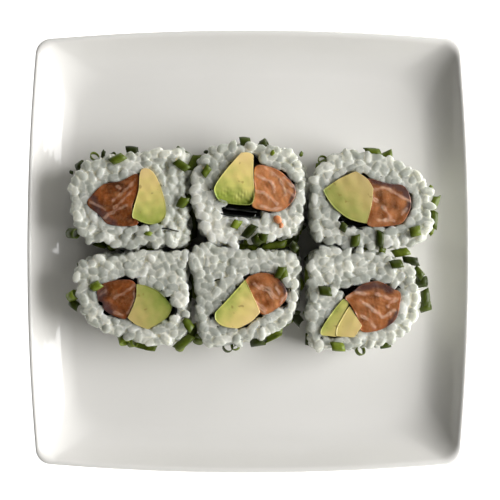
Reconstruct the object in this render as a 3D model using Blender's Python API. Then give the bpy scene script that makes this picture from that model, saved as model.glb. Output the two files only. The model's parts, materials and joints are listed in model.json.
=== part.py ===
"""Six cut pieces of a salmon and avocado uramaki roll, standing on their square porcelain plate.

+X runs along the rows, +Y goes from the near row to the far row and +Z is up. The origin lies
under the middle of the plate, on the surface it stands on. Sizes are in millimetres until the
meshes are made, which are in metres.
"""

import math

import bmesh
import bpy
import numpy as np
from mathutils import Vector

MM = 0.001
GAP = 0.3

# Plate: half of its width at the middle of a side, how far each side bows out, and heights
PLATE_HALF = 90.0
SIDE_BOW = 3.4
CORNER_RADIUS = 6.5
CORNER_GROWTH = 0.6
SIDE_POINTS = 8
CORNER_POINTS = 4
RIM_TOP = 18.0
LIP_WIDTH = 2.0
LIP_DROP = 0.6
WELL_FLOOR = 7.0
WALL_WIDTH = 15.0
WALL_STEEPNESS = 2.2
WALL_STATIONS = (0.14, 0.32, 0.52, 0.75, 1.0)

# Underside of the plate, as inset from the edge and height, down to the foot ring and its inner side
UNDERSIDE = ((0.0, 17.0), (0.8, 15.4), (3.0, 11.4), (6.5, 7.9), (11.0, 4.9), (17.0, 3.2), (33.0, 2.5))
FOOT_OUTER = 33.8
FOOT_INNER = 37.8
HOLLOW_EDGE = 38.6
HOLLOW_HEIGHT = 2.3

# Rolls: the slices are cut this long and stand on a cut face
SLICE_HEIGHT = 24.5
BASE = WELL_FLOOR + GAP
GRAIN_LENGTH = 7.0
GRAIN_WIDTH = 3.2
GRAIN_SPACING = 3.5
GRAIN_RELIEF = 1.0
VOXEL = 0.8
RICE_TRIANGLES = 1080
OUTLINE_STEP = 2.5

NORI_THICKNESS = 0.5
NORI_STEP = 5.0
FILLING_STEP = 3.4
FILLING_EDGE = 0.8
CUTTER_MARGIN = 3.0

# Chives: a ring cut across the leaf, and a strip of a split leaf
RING_RADIUS = 1.9
RING_LENGTH = 3.2
STRIP = (5.5, 2.2, 1.2)
CHIVE_SINK = 0.5

# Outlines run round each cut face, in millimetres from the roll's own centre. A nori sheet starts
# inside, beside the filling, runs round it once and ends as a tail between two layers of rice.
# Each chive is given by its direction from the centre in degrees, its height as a part of the
# slice, and its shape. The shoulder is how much narrower the cut face is on its +X side.
ROLLS = (
    {
        "centre": (-46.4, 20.6),
        "lean": 0.8,
        "shoulder": 1.0,
        "rice": ((-24.3, 1.5), (-22, 9.5), (-14.5, 16), (-2, 18), (12, 19.3), (21.5, 18.6), (22.6, 9.5),
                 (22.6, -2.5), (22.8, -11.5), (21.6, -18.4), (12, -19), (-1, -19.3), (-9.5, -17),
                 (-18, -15.5), (-22.5, -9)),
        "nori": ((13, -9.6), (15, -5), (14, 0), (12.6, 6), (9.6, 12), (6.5, 13.6), (2.5, 11.6), (-4.5, 8.6),
                 (-11.5, 7.2), (-16.7, 2.7), (-18.3, -2.5), (-14, -7.5), (-8.5, -11.5), (2, -12),
                 (12, -11.6), (16, -12), (18.8, -12.6)),
        "salmon": ((-17, -2), (-15.2, 1.6), (-10.5, 5.8), (-4, 7), (2.6, 9.8), (3, 3.5), (0.5, -3),
                   (2.6, -9.8), (-8, -10), (-12.5, -6)),
        "avocado": (((4, 10.8), (6.5, 12), (9.3, 9.8), (12.2, 3.5), (13.8, -3.5), (12.8, -8), (8, -9.8),
                     (2.5, -8), (0.8, -6), (3.2, 3.5)),),
        "tops": (0.0, 0.5),
        "chives": ((145, 0.86, "ring"), (127, 0.9, "ring"), (104, 0.93, "strip"), (86, 0.8, "strip"),
                   (210, 0.82, "ring"), (165, 0.45, "ring"), (118, 0.4, "strip"), (188, 0.55, "strip"),
                   (95, 0.35, "ring")),
    },
    {
        "centre": (1.8, 21.8),
        "lean": 0.8,
        "shoulder": 4.0,
        "rice": ((-23.6, 1.5), (-22, 11), (-16.5, 18), (-5, 20.8), (6, 19.5), (16.5, 16.8), (21.8, 10),
                 (22.2, 1.5), (21, -7.5), (18, -15), (6.5, -18), (-9, -20), (-18.5, -16.5), (-22.4, -8.5)),
        "nori": ((1.5, -6.2), (-5, -5.4), (-11, -4.6), (-16, -1), (-16.4, 4.5), (-12, 11.6), (-7, 17.0),
                 (-1.4, 17.4), (2.6, 14.6), (8, 12.9), (14.2, 9.4), (18.2, 3), (17, -3.5), (12, -7.5),
                 (4, -8.2), (-5, -7.8), (-13, -7)),
        "salmon": ((0.8, 11.2), (6, 11.6), (12, 8.6), (16.6, 3), (15.2, -2.3), (10.5, -5.8), (4, -5.4),
                   (-0.3, -3.8), (0.8, 1)),
        "avocado": (((-6, 15.6), (-2, 16), (0.2, 14.6), (-0.3, 10), (0.3, 0), (-2, -3.6), (-9.6, -3.2),
                     (-14.2, -1), (-14.6, 3.5), (-10, 11)),),
        "tops": (0.0, 1.6),
        "chives": ((93, 0.88, "strip"), (77, 0.9, "ring"), (62, 0.92, "ring"), (140, 0.9, "ring"),
                   (108, 0.5, "ring"), (70, 0.45, "strip"), (124, 0.6, "strip"), (86, 0.3, "ring"),
                   (284, 0.86, "strip")),
    },
    {
        "centre": (48.0, 19.4),
        "lean": 0.8,
        "shoulder": 1.0,
        "rice": ((-22.4, 4), (-20.6, 13.2), (-13.5, 18.5), (-4.5, 19.5), (7.5, 16.8), (18.5, 11.8),
                 (24, 4.5), (24.2, -5), (23, -13.5), (16, -17.4), (3.5, -17.8), (-10, -17), (-21.4, -14),
                 (-23, -5)),
        "nori": ((-10, -7), (-15.5, -3), (-19.3, 2.6), (-18.6, 6.6), (-12, 10.8), (-5.5, 13.5), (0, 11.4),
                 (8, 9), (14.8, 7.4), (17.8, 0), (16, -6.8), (12, -10.4), (2.5, -11.5), (-7, -9.8),
                 (-14, -7.2), (-17.5, -7), (-20, -7.6)),
        "salmon": ((-1, 9.2), (7.5, 7.2), (13.3, 6.2), (16, 0), (14, -6), (10.3, -8.8), (-1, -8.8), (1, 1),
                   (0.5, 6)),
        "avocado": (((-18, 4.5), (-12, 8.9), (-6, 11.8), (-2, 9.6), (0.6, 4), (-0.2, -3), (-2, -8.2),
                     (-10, -5.8), (-15.2, -1)),),
        "tops": (0.0, 0.5),
        "chives": ((88, 0.86, "strip"), (70, 0.88, "strip"), (140, 0.9, "ring"), (15, 0.8, "ring"),
                   (357, 0.84, "strip"), (340, 0.8, "ring"), (48, 0.5, "ring"), (110, 0.45, "strip"),
                   (8, 0.35, "strip")),
    },
    {
        "centre": (-45.3, -18.6),
        "lean": -0.8,
        "shoulder": 1.0,
        "rice": ((-22.6, 13.2), (-15, 17), (-1, 18.3), (12.5, 18.6), (21, 17.8), (21.6, 9.5), (21.6, -0.5),
                 (21, -10), (17.3, -16.6), (6.5, -18.2), (-6, -14.6), (-16, -11), (-21, -3), (-22.5, 5.5)),
        "nori": ((4, 7), (10, 4), (15.2, -0.5), (16.7, -4), (15.2, -8.5), (6.5, -13.4), (-2, -10.2),
                 (-10.5, -8), (-15.3, -2.3), (-15.3, 3.5), (-11.5, 7.4), (-5, 9), (2, 10), (7.5, 9.7),
                 (12.5, 8), (16.6, 5.2)),
        "salmon": ((-13.8, 2.8), (-11, 5.8), (-5, 7.4), (0, 6.4), (1, 2.5), (-1.3, -4), (-2.3, -8),
                   (-9.7, -6), (-13.4, -1.6)),
        "avocado": (((1, 5.8), (6, 4.6), (10.5, 1.6), (14.8, -2.7), (13.6, -7.2), (6.3, -11.8),
                     (-1.8, -8.4), (-0.8, -4), (1.2, 1)),),
        "tops": (0.0, 0.4),
        "chives": ((181, 0.82, "ring"), (191, 0.7, "ring"), (250, 0.84, "strip"), (262, 0.78, "strip"),
                   (320, 0.86, "ring"), (218, 0.5, "ring"), (276, 0.5, "strip"), (168, 0.4, "strip"),
                   (296, 0.7, "ring")),
    },
    {
        "centre": (0.6, -18.2),
        "lean": -0.8,
        "shoulder": 4.0,
        "rice": ((-21.6, 16.4), (-15, 19), (-4, 18), (10, 18.6), (19, 18), (21, 9), (19.8, -1),
                 (16, -9.8), (5, -15.6), (-6, -18.2), (-17, -18.6), (-21, -10.5), (-21.4, -1), (-22, 8)),
        "nori": ((-3.5, 7.6), (-8.5, 2), (-13.6, -3.7), (-15.8, -7.5), (-12, -11.8), (-4.5, -13.7),
                 (2.5, -10.8), (6.5, -8.2), (13.2, -4.4), (16.2, 1.5), (13.4, 7.7), (8.5, 11.3),
                 (2.5, 11.6), (-2.5, 10.4), (-9.5, 7.8), (-15.5, 6.2)),
        "salmon": ((-1.6, 7.2), (3, 9.6), (8, 9.2), (12, 6.3), (14.6, 1.5), (12, -3), (5.5, -6.6),
                   (2, -2.5), (-0.5, 3)),
        "avocado": (((-2.8, 6), (0, 0.5), (3, -4.5), (1, -8.7), (-4.5, -12), (-10.8, -10.4), (-13.7, -7.2),
                     (-9.6, -2.2), (-5, 3.6)),),
        "tops": (0.0, 0.6),
        "chives": ((240, 0.84, "ring"), (252, 0.8, "ring"), (286, 0.82, "strip"), (303, 0.84, "strip"),
                   (330, 0.45, "strip"), (226, 0.5, "strip"), (268, 0.45, "ring"), (40, 0.9, "ring")),
    },
    {
        "centre": (46.1, -19.8),
        "lean": -0.8,
        "shoulder": 1.0,
        "rice": ((-21.6, 12.5), (-15.5, 17), (-6.5, 17.5), (5.5, 15.8), (16.5, 13), (21, 6.5),
                 (22.4, -1), (20.6, -8), (12.8, -14), (1.5, -18), (-10, -18.6), (-20.6, -17.6), (-22.2, -7),
                 (-22.2, 2.5)),
        "nori": ((-10, 2.6), (-13.5, -2.5), (-17.6, -7.5), (-19, -11.6), (-15.5, -15), (-5, -15.4),
                 (-0.5, -13.2), (8.3, -11.6), (13.3, -6), (15.5, 1.5), (12, 6.9), (5, 9.6), (-3, 8),
                 (-12, 5.8), (-17.5, 6.6)),
        "salmon": ((-8.2, 1.8), (-2.5, 4.5), (4.5, 8), (11, 4.6), (14, 1.5), (12, -5), (7.4, -10),
                   (-0.6, -11.6), (-3, -6.5), (-6.3, -0.5)),
        "avocado": (((-10, 1), (-7.2, -0.5), (-8.3, -4.5), (-11.3, -9), (-11.5, -13.5), (-16.8, -12.6),
                     (-17, -10), (-13.2, -4.5)),
                    ((-6, -2.5), (-3.8, -5.6), (-1, -9.4), (-3, -12), (-5.5, -14), (-10.6, -13.6),
                     (-10.3, -10), (-8, -5))),
        "tops": (0.0, 0.5, 0.9),
        "chives": ((33, 0.86, "ring"), (22, 0.88, "ring"), (8, 0.84, "strip"), (357, 0.8, "ring"),
                   (240, 0.6, "strip"), (264, 0.55, "strip"), (288, 0.6, "ring"), (342, 0.4, "strip"),
                   (40, 0.45, "strip")),
    },
)


def clear_scene():
    for item in list(bpy.data.objects):
        bpy.data.objects.remove(item, do_unlink=True)


def make_material(name, colour, roughness):
    material = bpy.data.materials.new(name)
    material.use_nodes = True
    surface = material.node_tree.nodes["Principled BSDF"]
    surface.inputs["Base Color"].default_value = (*colour, 1.0)
    surface.inputs["Roughness"].default_value = roughness
    surface.inputs["Metallic"].default_value = 0.0
    return material


def make_materials():
    return {
        "plate": make_material("white glazed porcelain", (0.80, 0.79, 0.76), 0.12),
        "rice": make_material("cooked sushi rice", (0.72, 0.72, 0.68), 0.35),
        "nori": make_material("pressed nori", (0.008, 0.012, 0.012), 0.45),
        "salmon": make_material("raw salmon", (0.42, 0.13, 0.06), 0.30),
        "avocado": make_material("ripe avocado", (0.55, 0.52, 0.16), 0.40),
    }


def add_mesh(name, points, faces, material, parent):
    """A closed mesh from points in millimetres, its faces turned to point out."""
    mesh = bpy.data.meshes.new(name)
    mesh.from_pydata([tuple(co * MM for co in point) for point in points], [], faces)
    shape = bmesh.new()
    shape.from_mesh(mesh)
    bmesh.ops.recalc_face_normals(shape, faces=shape.faces)
    shape.to_mesh(mesh)
    shape.free()
    item = bpy.data.objects.new(name, mesh)
    bpy.context.scene.collection.objects.link(item)
    item.parent = parent
    if material:
        mesh.materials.append(material)
    return item


def stacked(name, levels, material, parent):
    """A solid through outlines of equal length, given bottom to top as (points, heights)."""
    points = []
    faces = []
    count = len(levels[0][0])
    for outline, heights in levels:
        points += [(x, y, z) for (x, y), z in zip(outline, heights)]
    for level in range(len(levels) - 1):
        low = level * count
        for i in range(count):
            j = (i + 1) % count
            faces.append((low + i, low + j, low + count + j, low + count + i))
    faces.append(tuple(range(count - 1, -1, -1)))
    faces.append(tuple(range(len(points) - count, len(points))))
    return add_mesh(name, points, faces, material, parent)


def flat(outline, height):
    return outline, [height] * len(outline)


def smooth_curve(points, step, closed):
    """A Catmull-Rom curve through the points, sampled about every step."""
    corners = np.array(points, float)
    if closed:
        corners = np.vstack([corners[-1:], corners, corners[:2]])
    else:
        first = 2 * corners[0] - corners[1]
        last = 2 * corners[-1] - corners[-2]
        corners = np.vstack([first, corners, last])
    t = np.linspace(0.0, 1.0, 12, endpoint=False)[:, None]
    fine = []
    for p0, p1, p2, p3 in zip(corners, corners[1:], corners[2:], corners[3:]):
        fine.append(0.5 * (2 * p1 + (p2 - p0) * t + (2 * p0 - 5 * p1 + 4 * p2 - p3) * t**2
                           + (3 * p1 - p0 - 3 * p2 + p3) * t**3))
    fine = np.vstack(fine + [corners[-2:-1]])
    along = np.concatenate([[0.0], np.cumsum(np.linalg.norm(np.diff(fine, axis=0), axis=1))])
    count = max(3, round(along[-1] / step))
    stations = np.linspace(0.0, along[-1], count + 1)
    if closed:
        stations = stations[:-1]
    curve = np.column_stack([np.interp(stations, along, fine[:, k]) for k in range(2)])
    return anticlockwise(curve) if closed else curve


def anticlockwise(outline):
    x, y = outline[:, 0], outline[:, 1]
    turns_left = np.sum(x * np.roll(y, -1) - np.roll(x, -1) * y) > 0
    return outline if turns_left else outline[::-1]


def side_normals(curve, closed):
    """Unit normals to the right of travel, which point out of a loop that runs anticlockwise."""
    if closed:
        travel = np.roll(curve, -1, axis=0) - np.roll(curve, 1, axis=0)
    else:
        travel = np.gradient(curve, axis=0)
    travel /= np.linalg.norm(travel, axis=1)[:, None]
    return np.column_stack([travel[:, 1], -travel[:, 0]])


def grown(outline, distance):
    """The anticlockwise outline moved outwards, or inwards with a negative distance."""
    return outline + side_normals(outline, True) * distance


def ribbon(path, thickness):
    """The outline of a band of this thickness along an open path."""
    offset = side_normals(path, False) * thickness / 2
    return np.vstack([path + offset, (path - offset)[::-1]])


def evaluated_mesh(item):
    bpy.context.view_layer.update()
    graph = bpy.context.evaluated_depsgraph_get()
    return bpy.data.meshes.new_from_object(item.evaluated_get(graph))


def apply_modifiers(item):
    mesh = evaluated_mesh(item)
    item.modifiers.clear()
    item.data = mesh


def hide(item):
    item.hide_render = True
    item.display_type = "WIRE"


def cut(item, cutter, operation="DIFFERENCE"):
    """Cuts with a hidden helper, whose job is then done."""
    hide(cutter)
    boolean = item.modifiers.new("cut", "BOOLEAN")
    boolean.operation = operation
    boolean.solver = "EXACT"
    boolean.object = cutter
    apply_modifiers(item)
    bpy.data.objects.remove(cutter, do_unlink=True)


def plate_outline(inset):
    """A quarter-symmetric square with bowed sides and round corners, this far in from the edge."""
    half = PLATE_HALF - inset
    radius = CORNER_RADIUS + CORNER_GROWTH * inset
    reach = half - SIDE_BOW * (half / PLATE_HALF) - radius
    bow = half - radius - reach
    quarter = []
    for i in range(SIDE_POINTS):
        y = reach * (2 * i / SIDE_POINTS - 1)
        quarter.append((half - bow * (y / reach) ** 2, y))
    tilt = math.atan2(2 * bow, reach)
    for i in range(CORNER_POINTS):
        angle = tilt + (math.pi / 2 - 2 * tilt) * i / CORNER_POINTS
        quarter.append((reach + radius * math.cos(angle), reach + radius * math.sin(angle)))
    outline = []
    for turn in range(4):
        c, s = round(math.cos(turn * math.pi / 2)), round(math.sin(turn * math.pi / 2))
        outline += [(x * c - y * s, x * s + y * c) for x, y in quarter]
    return outline


def plate_stations():
    """Inset and height from the middle of the well over the lip to the middle of the underside."""
    lip_inner = RIM_TOP - LIP_DROP
    rise = lip_inner - WELL_FLOOR
    inside = [(LIP_WIDTH + WALL_WIDTH * s, WELL_FLOOR + rise * (1 - s) ** WALL_STEEPNESS)
              for s in reversed(WALL_STATIONS)]
    lip = [(LIP_WIDTH, lip_inner), (0.45 * LIP_WIDTH, RIM_TOP)]
    foot = [(FOOT_OUTER, 0.0), (FOOT_INNER, 0.0), (HOLLOW_EDGE, HOLLOW_HEIGHT)]
    return inside + lip + list(UNDERSIDE) + foot


def make_plate(material):
    points = []
    faces = []
    stations = plate_stations()
    for inset, height in stations:
        points += [(x, y, height) for x, y in plate_outline(inset)]
    count = len(points) // len(stations)
    for ring in range(len(stations) - 1):
        low = ring * count
        for i in range(count):
            j = (i + 1) % count
            faces.append((low + i, low + j, low + count + j, low + count + i))
    faces.append(tuple(range(count)))
    faces.append(tuple(range(len(points) - count, len(points))))
    plate = add_mesh("plate", points, faces, material, None)
    plate.data.shade_smooth()
    plate.data.set_sharp_from_angle(angle=math.radians(50))
    return plate


def shouldered(outline, shoulder, share):
    """Pulls in the +X side, most at its far end."""
    reach = outline[:, 0].max()
    pull = shoulder * share * np.clip(outline[:, 0] / reach, 0, 1) ** 2
    return outline - np.column_stack([pull, np.zeros(len(outline))])


def rice_blank(roll, parent):
    """The block of rice before its grains: a rounded slice that leans a little and widens downwards."""
    outline = smooth_curve(roll["rice"], OUTLINE_STEP, True)
    top = BASE + SLICE_HEIGHT
    sections = ((BASE, 1.0, 0.0, 1.0), (BASE + 2, 0.0, 0.0, 1.0), (BASE + 11, 0.0, 0.2, 0.6),
                (top - 5, 0.3, 0.5, 0.2), (top - 1.5, 0.8, 0.8, 0.0), (top, 2.2, 1.0, 0.0))
    levels = []
    for height, inset, share, leaning in sections:
        ring = shouldered(grown(outline, -inset), roll["shoulder"], share)
        ring = ring + np.array([0.0, roll["lean"] * leaning])
        levels.append(flat(ring, height))
    return stacked("rice blank", levels, None, parent)


def raise_grains(mesh, seed):
    """Sinks the surface between seeded grain shapes that lie along it, and leaves the base flat."""
    count = len(mesh.vertices)
    points = np.empty(count * 3)
    mesh.vertices.foreach_get("co", points)
    points = points.reshape(-1, 3) / MM
    normals = np.empty(count * 3)
    mesh.vertex_normals.foreach_get("vector", normals)
    normals = normals.reshape(-1, 3)
    rng = np.random.default_rng(seed)
    chosen = []
    for i in rng.permutation(count):
        if not chosen or np.min(np.linalg.norm(points[chosen] - points[i], axis=1)) > GRAIN_SPACING:
            chosen.append(int(i))
    height = np.zeros(count)
    for i in chosen:
        along = np.cross(normals[i], rng.normal(size=3))
        along /= np.linalg.norm(along)
        offset = points - points[i]
        length = offset @ along
        width = np.sqrt(np.maximum(np.sum(offset**2, axis=1) - length**2, 0))
        reach = (2 * length / GRAIN_LENGTH) ** 2 + (2 * width / GRAIN_WIDTH) ** 2
        height = np.maximum(height, np.sqrt(np.clip(1 - reach, 0, 1)))
    base = (normals[:, 2] < -0.6) | (points[:, 2] < BASE + 1.0)
    sink = np.where(base, 0.0, GRAIN_RELIEF * (1 - height))
    points -= normals * sink[:, None]
    mesh.vertices.foreach_set("co", (points * MM).ravel())
    mesh.update()


def grained_rice(roll, seed, name, material, parent):
    blank = rice_blank(roll, parent)
    remesh = blank.modifiers.new("even mesh", "REMESH")
    remesh.mode = "VOXEL"
    remesh.voxel_size = VOXEL * MM
    apply_modifiers(blank)
    raise_grains(blank.data, seed)
    blank.data.calc_loop_triangles()
    decimate = blank.modifiers.new("fewer faces", "DECIMATE")
    decimate.ratio = RICE_TRIANGLES / len(blank.data.loop_triangles)
    apply_modifiers(blank)
    blank.name = name
    blank.data.name = name
    blank.data.materials.clear()
    blank.data.materials.append(material)
    return blank


def closed_part(path):
    """The nori path from its start up to where it comes round to its start again."""
    start = path[0]
    distances = np.linalg.norm(path - start, axis=1)
    half = len(path) // 2
    return anticlockwise(path[: half + int(np.argmin(distances[half:])) + 1])


def prism(name, outline, low, high, parent):
    return stacked(name, (flat(outline, low), flat(outline, high)), None, parent)


def beyond(before, end):
    """The end of a path moved on by the gap that neighbours keep."""
    travel = end - before
    return end + travel / np.linalg.norm(travel) * GAP


def cut_core(rice, path, parent):
    """Opens the rice for the filling and for the nori sheet with its tail."""
    low = BASE - CUTTER_MARGIN
    high = BASE + SLICE_HEIGHT + CUTTER_MARGIN
    room = NORI_THICKNESS / 2 + GAP
    cut(rice, prism("core cutter", grown(closed_part(path), room), low, high, parent))
    longer = np.vstack([beyond(path[1], path[0]), path[1:-1], beyond(path[-2], path[-1])])
    cut(rice, prism("sheet cutter", ribbon(longer, 2 * room), low - 1, high + 1, parent))


def surface_point(rice, degrees, height):
    """Where a ray from outside meets the rice at this direction and height, and the way out."""
    angle = math.radians(degrees)
    outward = Vector((math.cos(angle), math.sin(angle), 0.0))
    level = BASE + SLICE_HEIGHT * height
    origin = outward * 60 * MM + Vector((0, 0, level * MM))
    hit, point, normal, _ = rice.ray_cast(origin, -outward)
    if not hit:
        raise ValueError(f"no rice at {degrees} degrees")
    return point, outward


def chive_piece(kind, point, outward, turn):
    """A closed bit of chive, half sunk into the rice."""
    shape = bmesh.new()
    if kind == "ring":
        bmesh.ops.create_cone(shape, cap_ends=True, segments=7, radius1=RING_RADIUS * MM,
                              radius2=RING_RADIUS * MM, depth=RING_LENGTH * MM)
    else:
        bmesh.ops.create_cube(shape, size=MM)
        bmesh.ops.scale(shape, vec=(STRIP[0], STRIP[1], 2 * STRIP[2]), verts=shape.verts)
    mesh = bpy.data.meshes.new("chive")
    shape.to_mesh(mesh)
    shape.free()
    item = bpy.data.objects.new("chive", mesh)
    item.rotation_mode = "QUATERNION"
    facing = outward.to_track_quat("Z", "Y")
    spin = Vector((0, 0, 1)).rotation_difference(Vector((math.sin(turn), 0.35 * math.cos(turn), 1)))
    item.rotation_quaternion = facing @ spin if kind == "ring" else facing
    item.location = point - outward * CHIVE_SINK * MM
    return item


def fuse_chives(rice, roll):
    """One union joins the bits of chive to the rice they are pressed on."""
    bits = bpy.data.collections.new("bits")
    bpy.context.scene.collection.children.link(bits)
    for number, (degrees, height, kind) in enumerate(roll["chives"]):
        point, outward = surface_point(rice, degrees, height)
        item = chive_piece(kind, point, outward, 1.7 * number)
        item.parent = rice.parent
        hide(item)
        bits.objects.link(item)
    union = rice.modifiers.new("chives", "BOOLEAN")
    union.operation = "UNION"
    union.operand_type = "COLLECTION"
    union.solver = "EXACT"
    union.collection = bits
    apply_modifiers(rice)
    for item in list(bits.objects):
        bpy.data.objects.remove(item, do_unlink=True)
    bpy.data.collections.remove(bits)


def make_nori(name, path, material, parent):
    outline = ribbon(path, NORI_THICKNESS)
    high = BASE + SLICE_HEIGHT - 1.0
    return stacked(name, (flat(outline, BASE), flat(outline, high)), material, parent)


def make_filling(name, points, rise, material, parent):
    """A strip of fish or fruit, cut off with the roll, its top edge a little rounded."""
    outline = smooth_curve(points, FILLING_STEP, True)
    top = BASE + SLICE_HEIGHT + rise
    levels = (flat(outline, BASE), flat(outline, top - FILLING_EDGE),
              flat(grown(outline, -FILLING_EDGE), top))
    return stacked(name, levels, material, parent)


def keep_inside(filling, path, parent):
    room = grown(closed_part(path), -NORI_THICKNESS / 2 - GAP)
    inner = prism("lining", room, BASE - CUTTER_MARGIN, BASE + SLICE_HEIGHT + 3 * CUTTER_MARGIN, parent)
    cut(filling, inner, "INTERSECT")


def clear_of(filling, points, parent):
    """Keeps the usual gap to a neighbour of this outline."""
    room = grown(smooth_curve(points, FILLING_STEP, True), GAP)
    cut(filling, prism("gap", room, BASE - CUTTER_MARGIN, BASE + SLICE_HEIGHT + 3 * CUTTER_MARGIN, parent))


def make_roll(number, roll, materials):
    parent = bpy.data.objects.new(f"roll_{number}", None)
    parent.location = (roll["centre"][0] * MM, roll["centre"][1] * MM, 0.0)
    bpy.context.scene.collection.objects.link(parent)
    path = smooth_curve(roll["nori"], NORI_STEP, False)
    rice = grained_rice(roll, number, f"roll_{number}_rice", materials["rice"], parent)
    fuse_chives(rice, roll)
    cut_core(rice, path, parent)
    make_nori(f"roll_{number}_nori", path, materials["nori"], parent)
    salmon = make_filling(f"roll_{number}_salmon", roll["salmon"], roll["tops"][0], materials["salmon"],
                          parent)
    keep_inside(salmon, path, parent)
    before = [roll["salmon"]]
    for piece, points in enumerate(roll["avocado"]):
        name = f"roll_{number}_avocado" + ("" if piece == 0 else f"_{piece + 1}")
        avocado = make_filling(name, points, roll["tops"][piece + 1], materials["avocado"], parent)
        keep_inside(avocado, path, parent)
        for neighbour in before:
            clear_of(avocado, neighbour, parent)
        before.append(points)


def main():
    clear_scene()
    materials = make_materials()
    make_plate(materials["plate"])
    for number, roll in enumerate(ROLLS, start=1):
        make_roll(number, roll, materials)


main()
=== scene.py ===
"""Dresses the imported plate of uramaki: glazed porcelain, single grains of rice, nori, raw salmon, ripe
avocado and cut chives.

Lengths are in millimetres until a mesh is made, which is in metres. +X runs along the rows, +Y goes
to the far row and +Z is up.
"""

import json
import math

import bmesh
import bpy
import numpy as np
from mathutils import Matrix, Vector
from mathutils.bvhtree import BVHTree
from mathutils.geometry import tessellate_polygon

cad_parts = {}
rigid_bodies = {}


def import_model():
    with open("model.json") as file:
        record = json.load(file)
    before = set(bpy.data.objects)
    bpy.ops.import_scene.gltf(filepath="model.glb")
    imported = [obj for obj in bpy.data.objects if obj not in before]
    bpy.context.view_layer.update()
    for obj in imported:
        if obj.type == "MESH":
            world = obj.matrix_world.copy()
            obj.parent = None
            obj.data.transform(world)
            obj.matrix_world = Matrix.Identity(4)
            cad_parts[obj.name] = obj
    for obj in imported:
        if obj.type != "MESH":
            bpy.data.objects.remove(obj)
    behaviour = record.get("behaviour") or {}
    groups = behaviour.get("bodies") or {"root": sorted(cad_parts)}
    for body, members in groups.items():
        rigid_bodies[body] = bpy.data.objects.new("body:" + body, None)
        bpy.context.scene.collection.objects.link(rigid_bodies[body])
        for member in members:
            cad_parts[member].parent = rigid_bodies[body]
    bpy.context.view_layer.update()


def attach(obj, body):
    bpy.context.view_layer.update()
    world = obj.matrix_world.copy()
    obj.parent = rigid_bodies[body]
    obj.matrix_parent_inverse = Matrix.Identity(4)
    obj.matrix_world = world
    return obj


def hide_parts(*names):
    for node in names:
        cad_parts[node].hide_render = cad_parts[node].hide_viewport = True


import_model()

MM = 0.001

# Plate: the sizes of the porcelain, with the same profile as its solid
PLATE_HALF = 90.0
SIDE_BOW = 3.4
CORNER_RADIUS = 6.5
CORNER_GROWTH = 0.6
SIDE_POINTS = 40
CORNER_POINTS = 14
WELL_FLOOR = 7.0
LIP = ((2.0, 17.4), (1.6, 17.72), (1.2, 17.93), (0.8, 18.0), (0.45, 17.9), (0.2, 17.65), (0.05, 17.3))
WALL_START = 2.0
WALL_WIDTH = 15.0
WALL_STEEPNESS = 2.2
WALL_RINGS = 30
UNDERSIDE = ((0.0, 17.0), (0.8, 15.4), (3.0, 11.4), (6.5, 7.9), (11.0, 4.9), (17.0, 3.2), (33.0, 2.5))
FOOT = ((33.3, 1.6), (33.5, 0.6), (33.9, 0.1), (34.4, 0.0), (37.2, 0.0), (37.7, 0.1), (38.1, 0.6),
        (38.4, 1.6), (38.8, 2.15), (40.0, 2.3))

# Rolls: slices cut this long, standing on a cut face just above the well
SLICE_HEIGHT = 24.5
BASE = 7.3
TOP = BASE + SLICE_HEIGHT
TALLEST = 33.3
SHOULDER = TOP - 4
# Height, how far it is drawn in, and its shares of the roll's shoulder and lean
SECTIONS = ((BASE, 1.0, 0.0, 1.0), (BASE + 2, 0.0, 0.0, 1.0), (BASE + 11, 0.0, 0.2, 0.6),
            (TOP - 5, 0.3, 0.5, 0.2), (TOP - 1.5, 0.8, 0.8, 0.0), (TOP, 2.2, 1.0, 0.0))
OUTLINE_STEP = 1.2

# Cooked short grains. The layers are depth below the surface, spacing and tone, the outer one first; the
# inner layer's lower tone is painted shade in the gaps between grains.
GRAIN_KINDS = 12
CUT_GRAINS = 2
GRAIN_LENGTH = 5.9
GRAIN_WIDTH = 3.7
GRAIN_SIDES = 8
GRAIN_LAYERS = ((1.3, 2.95, 0.5), (1.9, 2.8, 0.35))
GRAIN_GROWTH = ((0.72, 1.15), (0.85, 1.12), (0.8, 1.05))
GRAIN_STRAY = 0.5
GRAIN_TILT = 0.4
GRAIN_TURN = 0.5
ALL_ROUND = 6.28
TONE_SPREAD = 0.38
CLUMP_SIZE = 8
CLUMP_RISE = 0.3
CLUMP_TONE = 0.14
RIM_STRAY = (-0.6, 0.9)
EDGE_STRAY = (-1.5, 0.7)
WALL_STEP = 0.8
TOP_TRIES = 5200
CORE_DEPTH = 1.5
CORE_INSET = 2.1
CORE_SLUMP = 1.3
# The core's low tone is painted shade where it shows between the grains
CORE_SHADE_TONE = 0.35
CUT_LEVEL = 0.9
CUT_SQUEEZE = 0.33
FOOT_DROP = 0.02
FOOT_SQUEEZE = 0.04
WELD_SIZE = 0.3
RICE_TRIANGLES = 150000
# Painted light in the seams between grains and painted shade on their crests: the most tone added, the seam
# depth that gets all of it, the crests' share of it as shade, and the smoothing rounds that find the seams
PAINTED_SEAM_LIGHT = 0.5
SEAM_DEPTH = 0.2
PAINTED_CREST_SHADE = 0.7
SMOOTHING_ROUNDS = 12

# Room that the grains leave beside the nori, its tail, the chives on top and the open dark spots, and
# how near the nori they lie along it
NORI_ROOM = 0.1
BESIDE_NORI = 3.0
TAIL_ROOM = 0.8
CHIVE_ROOM = 1.7
FLECK_ROOM = 1.0
CHIVE_DEPTH = 3
BARE_DEPTH = 8
ON_TOP = 0.9

# Nori sheet and the strips inside it
NORI_THICKNESS = 0.5
NORI_TOP = TOP - 1.0
NORI_STEP = 0.9
NORI_LEVELS = 9
FILLING_STEP = 0.5
FILLING_LEVELS = 9
EDGE_RINGS = 5
FACE_RINGS = 34
LINING_ROOM = 0.35
SWELL = 0.15
SEAM_WIDTH = 0.6
SEAM_WANDER = 0.36

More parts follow.
